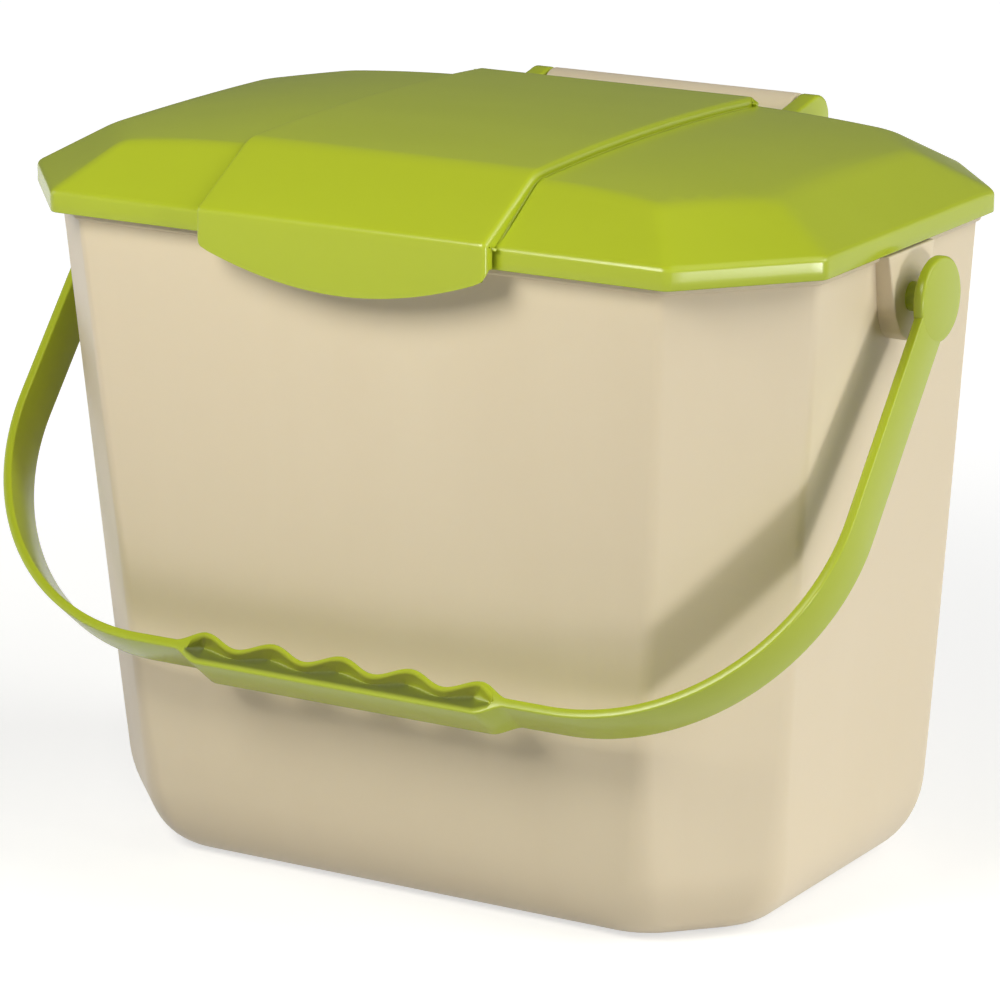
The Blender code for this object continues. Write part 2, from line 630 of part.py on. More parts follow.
def build_tub(group, tools, material):
    tub = build_tub_shell("bucket", group)

    # Pads that carry the handle's pivots
    shoulder = PIVOT_Z - PAD_SHOULDER_BELOW
    foot = PIVOT_Z - PAD_FOOT_BELOW
    top = RIM_HEIGHT - PAD_TOP_BELOW_RIM
    half = [
        (PAD_TOP_HALF, top),
        (PAD_SHOULDER_HALF, shoulder),
        (PAD_SHOULDER_HALF * 0.62, mix(shoulder, foot, 0.68)),
        (PAD_SHOULDER_HALF * 0.22, foot),
    ]
    pad = [(-y, z) for y, z in half] + list(reversed(half))
    depth = PAD_PROUD + WALL
    for side in (-1, 1):
        x = side * (PAD_FACE - depth / 2)
        block = plate(f"bucket_pad_tool_{side}", [pad], depth, across(x), tools)
        boolean(tub, block, "UNION")

    # Hinge bracket behind the back wall: plate, barrel and gussets
    wall_y = tub_back(RIM_HEIGHT - BAND_HEIGHT) - WALL * 0.6
    front_y = LID_HALF_DEPTH + BRACKET_LID_GAP
    low_z = SKIRT_FOOT - BRACKET_DROP
    bend_z = SKIRT_FOOT - BRACKET_BEND
    profile = [
        (wall_y, low_z),
        (front_y - BRACKET_PLATE * 0.3, low_z + BRACKET_PLATE * 0.4),
        (front_y + BRACKET_PLATE * 0.8, bend_z),
        (front_y + BRACKET_PLATE, HINGE_Z - BARREL_RADIUS * 0.6),
        (HINGE_Y, HINGE_Z),
        (front_y, HINGE_Z - BARREL_RADIUS * 0.3),
        (front_y, bend_z + BRACKET_BEND),
        (front_y - BRACKET_PLATE * 0.8, low_z + BRACKET_PLATE * 1.4),
        (wall_y, low_z + BRACKET_PLATE),
    ]
    web_length = 2 * (BARREL_HALF_LENGTH - PIN_CLEARANCE)
    web = plate("bucket_web_tool", [profile], web_length, across(0.0), tools)
    boolean(tub, web, "UNION")
    for side in (-1, 1):
        for x in (BARREL_HALF_LENGTH - GUSSET_EDGE_IN, BARREL_HALF_LENGTH / 3):
            rib_low = low_z - GUSSET_DROP
            gusset = [
                (tub_back(rib_low) - WALL * 0.6, rib_low),
                (front_y + BRACKET_PLATE * 0.5, low_z + BRACKET_PLATE),
                (front_y + BRACKET_PLATE * 0.5, bend_z),
                (wall_y, low_z + BRACKET_PLATE * 0.5),
            ]
            name = f"bucket_gusset_tool_{side}_{round(x * 1000)}"
            frame = across(side * x)
            boolean(tub, plate(name, [gusset], GUSSET_THICKNESS, frame, tools), "UNION")
    barrel = rod(
        "bucket_barrel_tool", BARREL_RADIUS, -BARREL_HALF_LENGTH, BARREL_HALF_LENGTH,
        HINGE_Y, HINGE_Z, tools, 32,
    )
    boolean(tub, barrel, "UNION")

    boolean(tub, build_tub_hollow("bucket_hollow_tool", tools), "DIFFERENCE")

    # Holes for the lid's stub pins and the handle's studs
    bore = PIN_RADIUS + PIN_CLEARANCE
    for side in (-1, 1):
        near = side * (BARREL_HALF_LENGTH + EAR_GAP)
        far = side * (EAR_INNER - PIN_LENGTH - PIN_CLEARANCE)
        hole = rod(
            f"bucket_bore_tool_{side}", bore, min(near, far), max(near, far),
            HINGE_Y, HINGE_Z, tools, 16,
        )
        boolean(tub, hole, "DIFFERENCE")
        near = side * (PAD_FACE + WALL / 2)
        far = side * (tub_half_width(PIVOT_Z) - 3 * WALL)
        hole = rod(
            f"bucket_pivot_tool_{side}", STUD_RADIUS + STUD_CLEARANCE, min(near, far),
            max(near, far), 0.0, PIVOT_Z, tools, 24,
        )
        boolean(tub, hole, "DIFFERENCE")
    tub.data.materials.append(material)
    return tub


def grip_inner(x):
    """Reach of the wavy rail's finger side."""
    crest = HANDLE_REACH - STRAP_THICKNESS / 2 - GRIP_INNER_BULGE
    return crest + WAVE_HEIGHT * (1 - math.cos(2 * math.pi * x / GRIP_PITCH)) / 2


def strap_rows():
    """Stations along the strap, each with four points (x, reach): the outer edge, the far
    rail's inside, the wavy rail's back and the finger side. Away from the grip's hollow the
    two middle points fall together."""
    half = STRAP_THICKNESS / 2
    radius = HANDLE_CORNER_RADIUS
    centre_x = ARM_CENTRE - radius
    centre_r = HANDLE_REACH - radius
    grip_half = GRIP_PITCH * GRIP_WAVES / 2
    shoulder = grip_half + GRIP_END_RUN
    far_rail = HANDLE_REACH + half + GRIP_OUTER_BULGE - RAIL_THICKNESS
    rows = []

    def plain(outer, inner):
        middle = ((outer[0] + inner[0]) / 2, (outer[1] + inner[1]) / 2)
        rows.append((outer, middle, middle, inner))

    plain((ARM_CENTRE + half, -DISC_RADIUS * 0.4), (ARM_CENTRE - half, -DISC_RADIUS * 0.4))
    arc_steps = 18
    for k in range(arc_steps + 1):
        angle = math.pi / 2 * k / arc_steps
        c, s = math.cos(angle), math.sin(angle)
        outer = (centre_x + (radius + half) * c, centre_r + (radius + half) * s)
        inner = (centre_x + (radius - half) * c, centre_r + (radius - half) * s)
        plain(outer, inner)
    end_steps = 5
    for k in range(1, end_steps):
        t = k / end_steps
        ease = t * t * (3 - 2 * t)
        x = mix(shoulder, grip_half, t)
        outer = (x, HANDLE_REACH + half + GRIP_OUTER_BULGE * ease)
        inner = (x, HANDLE_REACH - half - GRIP_INNER_BULGE * ease)
        plain(outer, inner)
    wave_steps = 8
    for k in range(wave_steps * GRIP_WAVES // 2 + 1):
        x = grip_half - GRIP_PITCH * k / wave_steps
        finger = grip_inner(x)
        outer = (x, HANDLE_REACH + half + GRIP_OUTER_BULGE)
        rows.append((outer, (x, far_rail), (x, finger + RAIL_THICKNESS), (x, finger)))
    return rows + [tuple((-x, r) for x, r in row) for row in reversed(rows[:-1])]


def strap_mesh(name):
    """The strap as one closed mesh, with a hollow on both faces of the grip down to a thin
    web. Local x runs across, z is minus the reach and y is the strap's width."""
    rows = strap_rows()
    bm = bmesh.new()
    spots = {}

    def at(i, j, y):
        x, r = rows[i][j]
        key = (i, 1 if rows[i][1] == rows[i][2] and j == 2 else j, y)
        if key not in spots:
            spots[key] = bm.verts.new((x, y, -r))
        return spots[key]

    def face(*corners):
        bm.faces.new(list(dict.fromkeys(corners)))

    high = STRAP_WIDTH / 2
    web = GRIP_WEB / 2
    for i in range(len(rows) - 1):
        for j in (0, 3):
            face(at(i, j, -high), at(i + 1, j, -high), at(i + 1, j, high), at(i, j, high))
        hollow = rows[i][1] != rows[i][2] or rows[i + 1][1] != rows[i + 1][2]
        for side in (-1, 1):
            for j, k in ((0, 1), (2, 3)):
                y = side * high
                face(at(i, j, y), at(i + 1, j, y), at(i + 1, k, y), at(i, k, y))
            if hollow:
                y, deep = side * high, side * web
                for j in (1, 2):
                    face(at(i, j, y), at(i + 1, j, y), at(i + 1, j, deep), at(i, j, deep))
                face(at(i, 1, deep), at(i + 1, 1, deep), at(i + 1, 2, deep), at(i, 2, deep))
    for i in (0, len(rows) - 1):
        low_side = [at(i, j, -high) for j in (0, 1, 3)]
        high_side = [at(i, j, high) for j in (3, 1, 0)]
        face(*low_side, *high_side)
    bmesh.ops.triangulate(bm, faces=bm.faces)
    return mesh_from(bm, name)


def build_handle(group, tools, material):
    handle = add_object("handle", strap_mesh("handle"), group)

    # Pivot discs and studs, with their axis on the object's own origin
    disc_in = ARM_CENTRE - DISC_THICKNESS / 2
    disc_out = ARM_CENTRE + DISC_THICKNESS / 2
    stud_end = tub_half_width(PIVOT_Z) - WALL + SEAT_CLEARANCE
    parts = []
    for side in (-1, 1):
        ends = sorted((side * disc_in, side * disc_out))
        parts.append((rod(f"handle_disc_tool_{side}", DISC_RADIUS, *ends, 0, 0, tools, 40), "UNION"))
        ends = sorted((side * stud_end, side * (disc_in + DISC_THICKNESS / 2)))
        parts.append((rod(f"handle_stud_tool_{side}", STUD_RADIUS, *ends, 0, 0, tools, 24), "UNION"))

    # The parent empty sits on the pivots' axis, tilted to where the handle rests
    pivot = bpy.data.objects.new("handle_pivot", None)
    group.objects.link(pivot)
    pivot.empty_display_size = 0.02
    pivot.location = (0, 0, PIVOT_Z)
    pivot.rotation_euler = (-HANDLE_TILT, 0, 0)
    handle.parent = pivot
    for tool, operation in parts:
        tool.parent = pivot
        boolean(handle, tool, operation)
    handle.data.materials.append(material)
    return handle


def main():
    clear_scene()
    parts = make_collection("kitchen_compost_pail")
    tools = make_collection("kitchen_compost_pail_cutters")
    beige = make_material("beige_polypropylene", (0.66, 0.55, 0.40), 0.38)
    green = make_material("green_polypropylene", (0.38, 0.52, 0.03), 0.30)
    grip = make_material("green_polypropylene_handle", (0.37, 0.50, 0.04), 0.33)
    build_tub(parts, tools, beige)
    build_lid(parts, tools, green)
    build_handle(parts, tools, grip)


main()
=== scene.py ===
import math

import bmesh
import bpy
from mathutils import Matrix, Vector


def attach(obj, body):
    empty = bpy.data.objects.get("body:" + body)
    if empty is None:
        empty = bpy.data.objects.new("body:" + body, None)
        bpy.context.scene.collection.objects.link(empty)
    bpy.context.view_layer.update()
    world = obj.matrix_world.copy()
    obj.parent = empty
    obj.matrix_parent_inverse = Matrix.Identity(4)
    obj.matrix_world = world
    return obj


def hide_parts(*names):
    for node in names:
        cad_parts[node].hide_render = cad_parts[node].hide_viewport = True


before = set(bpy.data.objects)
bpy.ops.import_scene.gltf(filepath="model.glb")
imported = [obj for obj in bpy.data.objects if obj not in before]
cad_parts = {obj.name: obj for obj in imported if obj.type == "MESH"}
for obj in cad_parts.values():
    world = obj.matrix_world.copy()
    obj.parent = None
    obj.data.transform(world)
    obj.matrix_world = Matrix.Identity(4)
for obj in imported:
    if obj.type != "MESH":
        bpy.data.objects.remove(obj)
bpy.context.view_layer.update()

scene = bpy.context.scene


def mix(a, b, t):
    return a + (b - a) * t


def clamp(value, low=0.0, high=1.0):
    return max(low, min(high, value))


def ease(t):
    t = clamp(t)
    return t * t * (3 - 2 * t)


def softMin(a, b, width):  # the smaller of two values, rounded where they meet
    blend = clamp(0.5 + 0.5 * (b - a) / width)
    return mix(b, a, blend) - width * blend * (1 - blend)


def steps(start, end, size):
    count = max(1, round(abs(end - start) / size))
    return [mix(start, end, k / count) for k in range(count + 1)]


def bothSides(right):  # the eight corners of a plan, from its right half given front to back
    left = [(-x, y) for x, y in right]
    return left[:1] + right + left[:0:-1]


def insetCorners(corners, inset):
    moved = []
    for i, corner in enumerate(corners):
        here = Vector(corner)
        back = (here - Vector(corners[i - 1])).normalized()
        ahead = (Vector(corners[(i + 1) % len(corners)]) - here).normalized()
        normal = Vector((-back.y - ahead.y, back.x + ahead.x)).normalized()
        reach = inset / normal.dot(Vector((-ahead.y, ahead.x)))
        moved.append(tuple(here + normal * reach))
    return moved


def roundedPath(corners, radius, arcSteps, flatSteps):
    # an outline with an arc at each corner and its flats divided evenly
    points = []
    count = len(corners)
    for i, corner in enumerate(corners):
        here = Vector(corner)
        back = (Vector(corners[i - 1]) - here).normalized()
        ahead = (Vector(corners[(i + 1) % count]) - here).normalized()
        half = back.angle(ahead) / 2
        centre = here + (back + ahead).normalized() * (radius / math.sin(half))
        first = here + back * (radius / math.tan(half)) - centre
        last = here + ahead * (radius / math.tan(half)) - centre
        sweep = math.atan2(first.x * last.y - first.y * last.x, first.dot(last))
        turns = [Matrix.Rotation(sweep * k / arcSteps, 2) for k in range(arcSteps + 1)]
        arc = [centre + turn @ first for turn in turns]
        if points:
            points += [points[-1].lerp(arc[0], k / flatSteps) for k in range(1, flatSteps)]
        points += arc
    points += [points[-1].lerp(points[0], k / flatSteps) for k in range(1, flatSteps)]
    return points


def vertsOf(made):
    return [v for v in made["geom"] if isinstance(v, bmesh.types.BMVert)]


def extrudeOn(bm, edges, chain):
    # adds a row of faces, and gives its new edges and its vertices in the old order
    made = bmesh.ops.extrude_edge_only(bm, edges=edges)
    byPlace = {tuple(round(c, 7) for c in v.co): v for v in vertsOf(made)}
    ordered = [byPlace[tuple(round(c, 7) for c in v.co)] for v in chain]
    return [e for e in made["geom"] if isinstance(e, bmesh.types.BMEdge)], ordered


def sweepRings(bm, rings):
    # carries a ring of edges through every ring of points, and gives the first and last edges
    bmesh.ops.create_circle(bm, cap_ends=False, radius=0.1, segments=len(rings[0]))
    ring = sorted(bm.verts, key=lambda v: math.atan2(v.co.y, v.co.x))
    first = edges = list(bm.edges)
    for index, points in enumerate(rings):
        if index:
            edges, ring = extrudeOn(bm, edges, ring)
        for v, point in zip(ring, points):
            v.co = point
    return first, edges


def joinInto(bm, other):
    work = bpy.data.meshes.new("work")
    other.to_mesh(work)
    other.free()
    bm.from_mesh(work)
    bpy.data.meshes.remove(work)


def sharpEdges(bm, degrees):
    limit = math.radians(degrees)
    return [e for e in bm.edges if len(e.link_faces) == 2 and e.calc_face_angle(0) > limit]


def roundEdges(bm, edges, width, steps):
    bmesh.ops.bevel(
        bm, geom=edges, offset=width, offset_type="OFFSET", segments=steps, profile=0.5,
        affect="EDGES", clamp_overlap=False, material=-1,
    )


def finishPiece(bm, name, material, body, node, sharp):
    bmesh.ops.remove_doubles(bm, verts=bm.verts, dist=1e-6)
    bmesh.ops.recalc_face_normals(bm, faces=bm.faces)
    mesh = bpy.data.meshes.new(name)
    bm.to_mesh(mesh)
    bm.free()
    mesh.shade_smooth()
    mesh.set_sharp_from_angle(angle=math.radians(sharp))
    mesh.materials.append(material)
    piece = bpy.data.objects.new(name, mesh)
    scene.collection.objects.link(piece)
    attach(piece, body)
    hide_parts(node)
    return piece


def plateAlongX(outline, x, thickness, width, steps, sharp):
    # a flat outline in (y, z) given a thickness along X, with rounded edges
    bm = bmesh.new()
    verts = [bm.verts.new((x - thickness / 2, y, z)) for y, z in outline]
    bm.faces.new(verts)
    side = bmesh.ops.extrude_face_region(bm, geom=list(bm.faces))
    bmesh.ops.translate(bm, verts=vertsOf(side), vec=(thickness, 0, 0))
    bmesh.ops.recalc_face_normals(bm, faces=bm.faces)
    roundEdges(bm, sharpEdges(bm, sharp), width, steps)
    return bm


def barAlongX(radius, start, end, y, z, width, steps, segments):
    bm = bmesh.new()
    bmesh.ops.create_cone(
        bm, cap_ends=True, segments=segments, radius1=radius, radius2=radius,
        depth=abs(end - start),
    )
    roundEdges(bm, sharpEdges(bm, 60), width, steps)
    lay = Matrix.Translation(((start + end) / 2, y, z)) @ Matrix.Rotation(math.pi / 2, 4, "Y")
    bmesh.ops.transform(bm, matrix=lay, verts=bm.verts)
    return bm


plastic = {
    "ior": 1.49, "subsurfaceScale": 0.004, "streakFrom": 0.45, "streakTo": 0.75,
    "rubFrom": 0.3, "rubTo": 0.7, "waveDistance": 0.002, "grainDistance": 0.0002,
}


def mouldedPlastic(name, look):
    material = bpy.data.materials.new(name)
    material.use_nodes = True
    nodes = material.node_tree.nodes
    links = material.node_tree.links
    shader = nodes["Principled BSDF"]
    shader.inputs["IOR"].default_value = plastic["ior"]
    shader.inputs["Specular IOR Level"].default_value = look["specular"]
    shader.inputs["Subsurface Weight"].default_value = look["subsurface"]
    shader.inputs["Subsurface Radius"].default_value = look["subsurfaceRadius"]
    shader.inputs["Subsurface Scale"].default_value = plastic["subsurfaceScale"]
    place = nodes.new("ShaderNodeTexCoord")

    def noise(scale, detail, stretch=(1, 1, 1)):
        turn = nodes.new("ShaderNodeMapping")
        turn.inputs["Scale"].default_value = stretch
        links.new(place.outputs["Object"], turn.inputs["Vector"])
        made = nodes.new("ShaderNodeTexNoise")
        made.inputs["Scale"].default_value = scale
        made.inputs["Detail"].default_value = detail
        links.new(turn.outputs["Vector"], made.inputs["Vector"])
        return made.outputs["Fac"]

    def spread(value, low, high, start, end):
        made = nodes.new("ShaderNodeMapRange")
        made.inputs["From Min"].default_value = low
        made.inputs["From Max"].default_value = high
        made.inputs["To Min"].default_value = start
        made.inputs["To Max"].default_value = end
        links.new(value, made.inputs["Value"])
        return made.outputs["Result"]

    def bump(value, strength, distance):
        made = nodes.new("ShaderNodeBump")
        made.inputs["Strength"].default_value = strength
        made.inputs["Distance"].default_value = distance
        links.new(value, made.inputs["Height"])
        return made

    # slow drift of the pigment, and faint flow lines from the mould
    drift = noise(look["driftScale"], detail=3)
    flow = noise(look["flowScale"], detail=4, stretch=look["flowStretch"])
    pigment = nodes.new("ShaderNodeMixRGB")
    pigment.inputs["Color1"].default_value = (*look["colour"], 1)
    pigment.inputs["Color2"].default_value = (*look["drift"], 1)
    links.new(drift, pigment.inputs["Fac"])
    streaks = nodes.new("ShaderNodeMixRGB")
    streaks.inputs["Color2"].default_value = (*look["streak"], 1)
    strength = spread(flow, plastic["streakFrom"], plastic["streakTo"], 0.0, look["streakAmount"])
    links.new(strength, streaks.inputs["Fac"])
    links.new(pigment.outputs["Color"], streaks.inputs["Color1"])
    links.new(streaks.outputs["Color"], shader.inputs["Base Color"])

    # roughness wanders where hands and cloths have rubbed
    rubbed = noise(look["rubScale"], detail=5)
    rough = spread(rubbed, plastic["rubFrom"], plastic["rubTo"], *look["roughness"])
    links.new(rough, shader.inputs["Roughness"])

    # spark-eroded mould grain over a very shallow waviness of the wall
    wavy, grainy = noise(look["waveScale"], detail=1), noise(look["grainScale"], detail=2)
    waves = bump(wavy, look["waveBump"], plastic["waveDistance"])
    grain = bump(grainy, look["grainBump"], plastic["grainDistance"])
    links.new(waves.outputs["Normal"], grain.inputs["Normal"])
    links.new(grain.outputs["Normal"], shader.inputs["Normal"])
    return material


beigeLook = {
    "colour": (0.745, 0.635, 0.470), "drift": (0.715, 0.610, 0.452), "driftScale": 9,
    "streak": (0.78, 0.68, 0.52), "streakAmount": 0.25, "flowScale": 30,
    "flowStretch": (1, 1, 0.15), "roughness": (0.36, 0.46), "rubScale": 16,
    "grainScale": 2600, "grainBump": 0.10, "waveScale": 22, "waveBump": 0.03,
    "specular": 0.35, "subsurface": 0.12, "subsurfaceRadius": (1.0, 0.8, 0.5),
}
lidLook = {  # its roughness stays below 0.274, where a denoiser would draw a line on the gloss
    "colour": (0.418, 0.490, 0.022), "drift": (0.390, 0.463, 0.019), "driftScale": 8,
    "streak": (0.45, 0.52, 0.03), "streakAmount": 0.25, "flowScale": 26,
    "flowStretch": (0.3, 1, 1), "roughness": (0.205, 0.262), "rubScale": 14,
    "grainScale": 2400, "grainBump": 0.05, "waveScale": 20, "waveBump": 0.03,
    "specular": 0.5, "subsurface": 0.10, "subsurfaceRadius": (0.8, 1.0, 0.15),
}
handleLook = dict(lidLook, flowStretch=(1, 1, 0.3), roughness=(0.21, 0.265), driftScale=14)

beige = mouldedPlastic("beigeSatinPolypropylene", beigeLook)
lime = mouldedPlastic("limeSatinPolypropylene", lidLook)
limeHandle = mouldedPlastic("limeHandlePolypropylene", handleLook)
print("materials ready")


lid = {
    "rimZ": 0.2324, "footZ": 0.2252, "halfWidth": 0.1500, "frontDepth": 0.1000,
    "backDepth": 0.0980, "frontHalf": 0.1154, "backHalf": 0.1182, "sideHalf": 0.0600,
    "shell": 0.0022, "skinShare": 1.3, "leastWall": 0.0007, "leastRise": 0.0001,
    "rise": 0.0195, "bandHalf": 0.055,
    "crown": 0.0023, "crownReach": 0.0750, "fall": 0.0048, "fallReach": 0.0710,
    "creaseSoftness": 0.0018, "ridgeSoftness": 0.0015, "rimRounding": 0.0014,
    "footRounding": 0.0005, "cornerRadius": 0.0050, "arcSteps": 6, "flatSteps": 14,
    "roundingSteps": 8, "reliefStart": 0.0610, "reliefRun": 0.002, "reliefZ": 0.2305,
}
groove = {
    "at": 0.0553, "depth": 0.0011, "half": 0.00045, "frontY": -0.0975, "frontRun": 0.004,
    "backRun": 0.002,
}
hollow = {  # the lid's underside below the raised band
    "half": 0.0518, "sideRun": 0.0012, "frontY": -0.0955, "backY": 0.0690, "endRun": 0.002,
    "skin": 0.0003,
}
cuts = {
    "cell": 0.0060, "acrossX": (-0.147, 0.147), "alongY": (-0.096, 0.094),
    "crease": (-0.0024, -0.0016, -0.0008, 0.0, 0.0008, 0.0016, 0.0024), "creasePast": 0.004,
    "creaseReach": 0.008, "hollow": [0.0504, 0.0508, 0.0512, 0.0516, 0.0520],
    "sideFrom": 0.040, "sideTo": 0.070, "mergeWithin": 0.00012, "onSkin": 3e-6,
    "slopeReach": 0.0001,
}
band = {
    "half": 0.0548, "shoulder": 0.0020, "step": 0.0028, "creaseY": -0.0745, "backY": 0.0715,
    "frontY": -0.1055, "frontZ": 0.2343, "frontRadius": 0.0026, "backRadius": 0.0015,
    "narrowing": 0.005, "sideDepth": 0.0034, "rimDepth": 0.0052, "rimStart": -0.080,
    "rimRun": 0.014, "lipDepth": 0.0040, "lipStart": -0.0995, "lipRun": 0.0030,
    "lipEndZ": 0.2224, "lipLowZ": 0.2116, "bow": 1.95, "cornerRadius": 0.0034,
    "thickness": 0.0017, "edge": 0.0005, "columnStep": 0.0026, "shoulderSteps": 8,
    "lipRows": 10, "longStep": 0.006, "creaseRun": 0.005, "fineRun": 0.0042,
    "fineStep": 0.0007, "slopeStep": 0.003, "backSteps": 5, "frontSteps": 8,
}


def rimCorners():
    return bothSides([
        (lid["frontHalf"], -lid["frontDepth"]), (lid["halfWidth"], -lid["sideHalf"]),
        (lid["halfWidth"], lid["sideHalf"]), (lid["backHalf"], lid["backDepth"]),
    ])


topCorners = bothSides([
    (0.1008, -0.0795), (0.1260, -0.0480), (0.1275, 0.0450), (0.1062, 0.0685),
])
bandFront = [(-lid["bandHalf"], band["creaseY"]), (lid["bandHalf"], band["creaseY"])]
bandBack = [(lid["bandHalf"], band["backY"]), (-lid["bandHalf"], band["backY"])]


def topRise(x, y):  # height of the broad top above the rim
    out = max(0.0, abs(x) - lid["bandHalf"])
    crown = lid["crown"] * (y / lid["crownReach"]) ** 2
    return lid["rise"] - crown - lid["fall"] * (out / lid["fallReach"]) ** 2


def slopeFacets():
    facets = []
    corners = rimCorners()
    for i, corner in enumerate(corners):
        start, end = Vector(corner), Vector(corners[(i + 1) % 8])
        along = (end - start).normalized()
        inward = Vector((-along.y, along.x))
        tops = [Vector(topCorners[i]), Vector(topCorners[(i + 1) % 8])]
        if i == 0:
            tops[1:1] = [Vector(place) for place in bandFront]
        if i == 4:
            tops[1:1] = [Vector(place) for place in bandBack]
        stops = []
        for top in tops:
            distance = (top - start).dot(inward)
            stops.append(((top - start).dot(along), topRise(top.x, top.y) / distance))
        facets.append((start, along, inward, stops))
    return facets


facets = slopeFacets()


def slopeRise(x, y):
    lowest = None
    for start, along, inward, stops in facets:
        away = Vector((x, y)) - start
        u = away.dot(along)
        grade = stops[0][1]
        for (u0, g0), (u1, g1) in zip(stops, stops[1:]):
            if u > u0:
                grade = mix(g0, g1, clamp((u - u0) / (u1 - u0)))
        height = away.dot(inward) * grade
        lowest = height if lowest is None else softMin(lowest, height, lid["ridgeSoftness"])
    return lowest


def domeHeight(x, y):
    return lid["rimZ"] + softMin(topRise(x, y), slopeRise(x, y), lid["creaseSoftness"])


def outerHeight(x, y):  # the dome's skin with the fine groove along the raised band
    off = (abs(x) - groove["at"]) / groove["half"]
    if abs(off) > 1:
        return domeHeight(x, y)
    fade = ease((y - groove["frontY"]) / groove["frontRun"])
    fade *= ease((band["backY"] - y) / groove["backRun"])
    return domeHeight(x, y) - groove["depth"] * fade * (0.5 + 0.5 * math.cos(math.pi * off))


def innerHeight(x, y):  # the skin underneath, hollowed further under the raised band
    under = ease((hollow["half"] - abs(x)) / hollow["sideRun"])
    under *= ease((y - hollow["frontY"]) / hollow["endRun"])
    under *= ease((hollow["backY"] - y) / hollow["endRun"])
    return domeHeight(x, y) - mix(lid["shell"] * lid["skinShare"], hollow["skin"], under)


def footHeight(y):
    return mix(lid["footZ"], lid["reliefZ"], ease((y - lid["reliefStart"]) / lid["reliefRun"]))


def lidOutline(inset):
    corners = insetCorners(rimCorners(), inset)
    return roundedPath(corners, lid["cornerRadius"] - inset, lid["arcSteps"], lid["flatSteps"])


def lidRings():
    # from the inner skin's edge down the skirt's inside, round its foot and up to the rim
    shell, lip = lid["shell"], lid["footRounding"]
    bend = lip * 0.3  # the middle of the foot's rounding
    sections = [
        (shell, None), (shell, lip), (shell - bend, bend), (shell - lip, 0.0),
        (lip, 0.0), (bend, bend), (0.0, lip),
    ]
    rings = []
    for inset, rise in sections:
        ring = []
        for p in lidOutline(inset):
            low = footHeight(p.y)
            top = max(innerHeight(p.x, p.y), low + lid["leastWall"])
            ring.append((p.x, p.y, top if rise is None else low + rise))
        rings.append(ring)
    for k in range(-1, lid["roundingSteps"] + 1):  # the first ring stands halfway up the skirt
        angle = math.radians(90) * max(k, 0) / lid["roundingSteps"]
        ring = []
        for p in lidOutline(lid["rimRounding"] * (1 - math.cos(angle))):
            foot = footHeight(p.y) + lip
            rounding = min(lid["rimRounding"], lid["rimZ"] - foot - lid["leastRise"])
            height = domeHeight(p.x, p.y) - rounding * (1 - math.sin(angle))
            ring.append((p.x, p.y, mix(foot, height, 0.5) if k < 0 else height))
        rings.append(ring)
    return rings


def cutCaps(bm):
    # cuts both skins on an even grid, and closely along each crease and the band's sides
    def cut(place, normal, near=None):
        faces = [f for f in bm.faces if f.material_index]
        if near:
            faces = [f for f in faces if near(f.calc_center_bounds())]
        work = set(faces)
        for f in faces:
            work.update(f.edges, f.verts)
        bmesh.ops.bisect_plane(bm, geom=list(work), dist=1e-6, plane_co=place, plane_no=normal)

    for x in steps(*cuts["acrossX"], cuts["cell"]):
        cut((x, 0, 0), (1, 0, 0))
    for y in steps(*cuts["alongY"], cuts["cell"]):
        cut((0, y, 0), (0, 1, 0))
    lines = [(Vector(low), Vector(high)) for low, high in zip(rimCorners(), topCorners)]
    loop = topCorners[:1] + bandFront + topCorners[1:5] + bandBack + topCorners[5:]
    lines += [(Vector(loop[i - 1]), Vector(loop[i])) for i in range(len(loop))]
    for start, end in lines:
        along = (end - start).normalized()
        length = (end - start).length

        def near(centre):
            away = Vector((centre.x, centre.y)) - start
            within = -cuts["creasePast"] < away.dot(along) < length + cuts["creasePast"]
            return within and abs(away.cross(along)) < cuts["creaseReach"]

        for shift in cuts["crease"]:
            side = start + Vector((-along.y, along.x)) * shift
            cut((side.x, side.y, 0), (-along.y, along.x, 0), near)
    marks = [groove["at"] + groove["half"] * k / 3 for k in range(-3, 4)]
    for x in marks + cuts["hollow"]:
        for side in (-1, 1):
            cut((side * x, 0, 0), (1, 0, 0),
                lambda centre: cuts["sideFrom"] < abs(centre.x) < cuts["sideTo"])


def buildDome():
    bm = bmesh.new()
    ends = sweepRings(bm, lidRings())
    for mark, edges in zip((1, 2), ends):  # the inner skin is marked 1, the outer skin 2
        for face in bmesh.ops.edgeloop_fill(bm, edges=edges)["faces"]:
            face.material_index = mark
    cutCaps(bm)
    inside = [v for v in bm.verts if all(f.material_index for f in v.link_faces)]
    bmesh.ops.remove_doubles(bm, verts=inside, dist=cuts["mergeWithin"])
    skins = [f for f in bm.faces if f.material_index]
    bmesh.ops.triangulate(bm, faces=skins, quad_method="BEAUTY", ngon_method="BEAUTY")
    for v in bm.verts:
        marks = {f.material_index for f in v.link_faces}
        if marks == {1}:
            v.co.z = max(innerHeight(v.co.x, v.co.y), footHeight(v.co.y) + lid["leastWall"])
        elif marks == {2}:
            v.co.z = outerHeight(v.co.x, v.co.y)
    for face in bm.faces:
        face.material_index = 0
    piece = finishPiece(bm, "lidDome", lime, "lid", "lid", sharp=50)

    # the true slope of the skin, so that its shading is even across the cuts
    normals = []
    far = cuts["slopeReach"]
    for v in piece.data.vertices:
        x, y, z = v.co
        if abs(z - outerHeight(x, y)) < cuts["onSkin"]:
            fallX = (outerHeight(x - far, y) - outerHeight(x + far, y)) / (2 * far)
            fallY = (outerHeight(x, y - far) - outerHeight(x, y + far)) / (2 * far)
            normals.append(Vector((fallX, fallY, 1)).normalized())
        else:
            normals.append(Vector((0, 0, 0)))
    piece.data.normals_split_custom_set_from_vertices(normals)


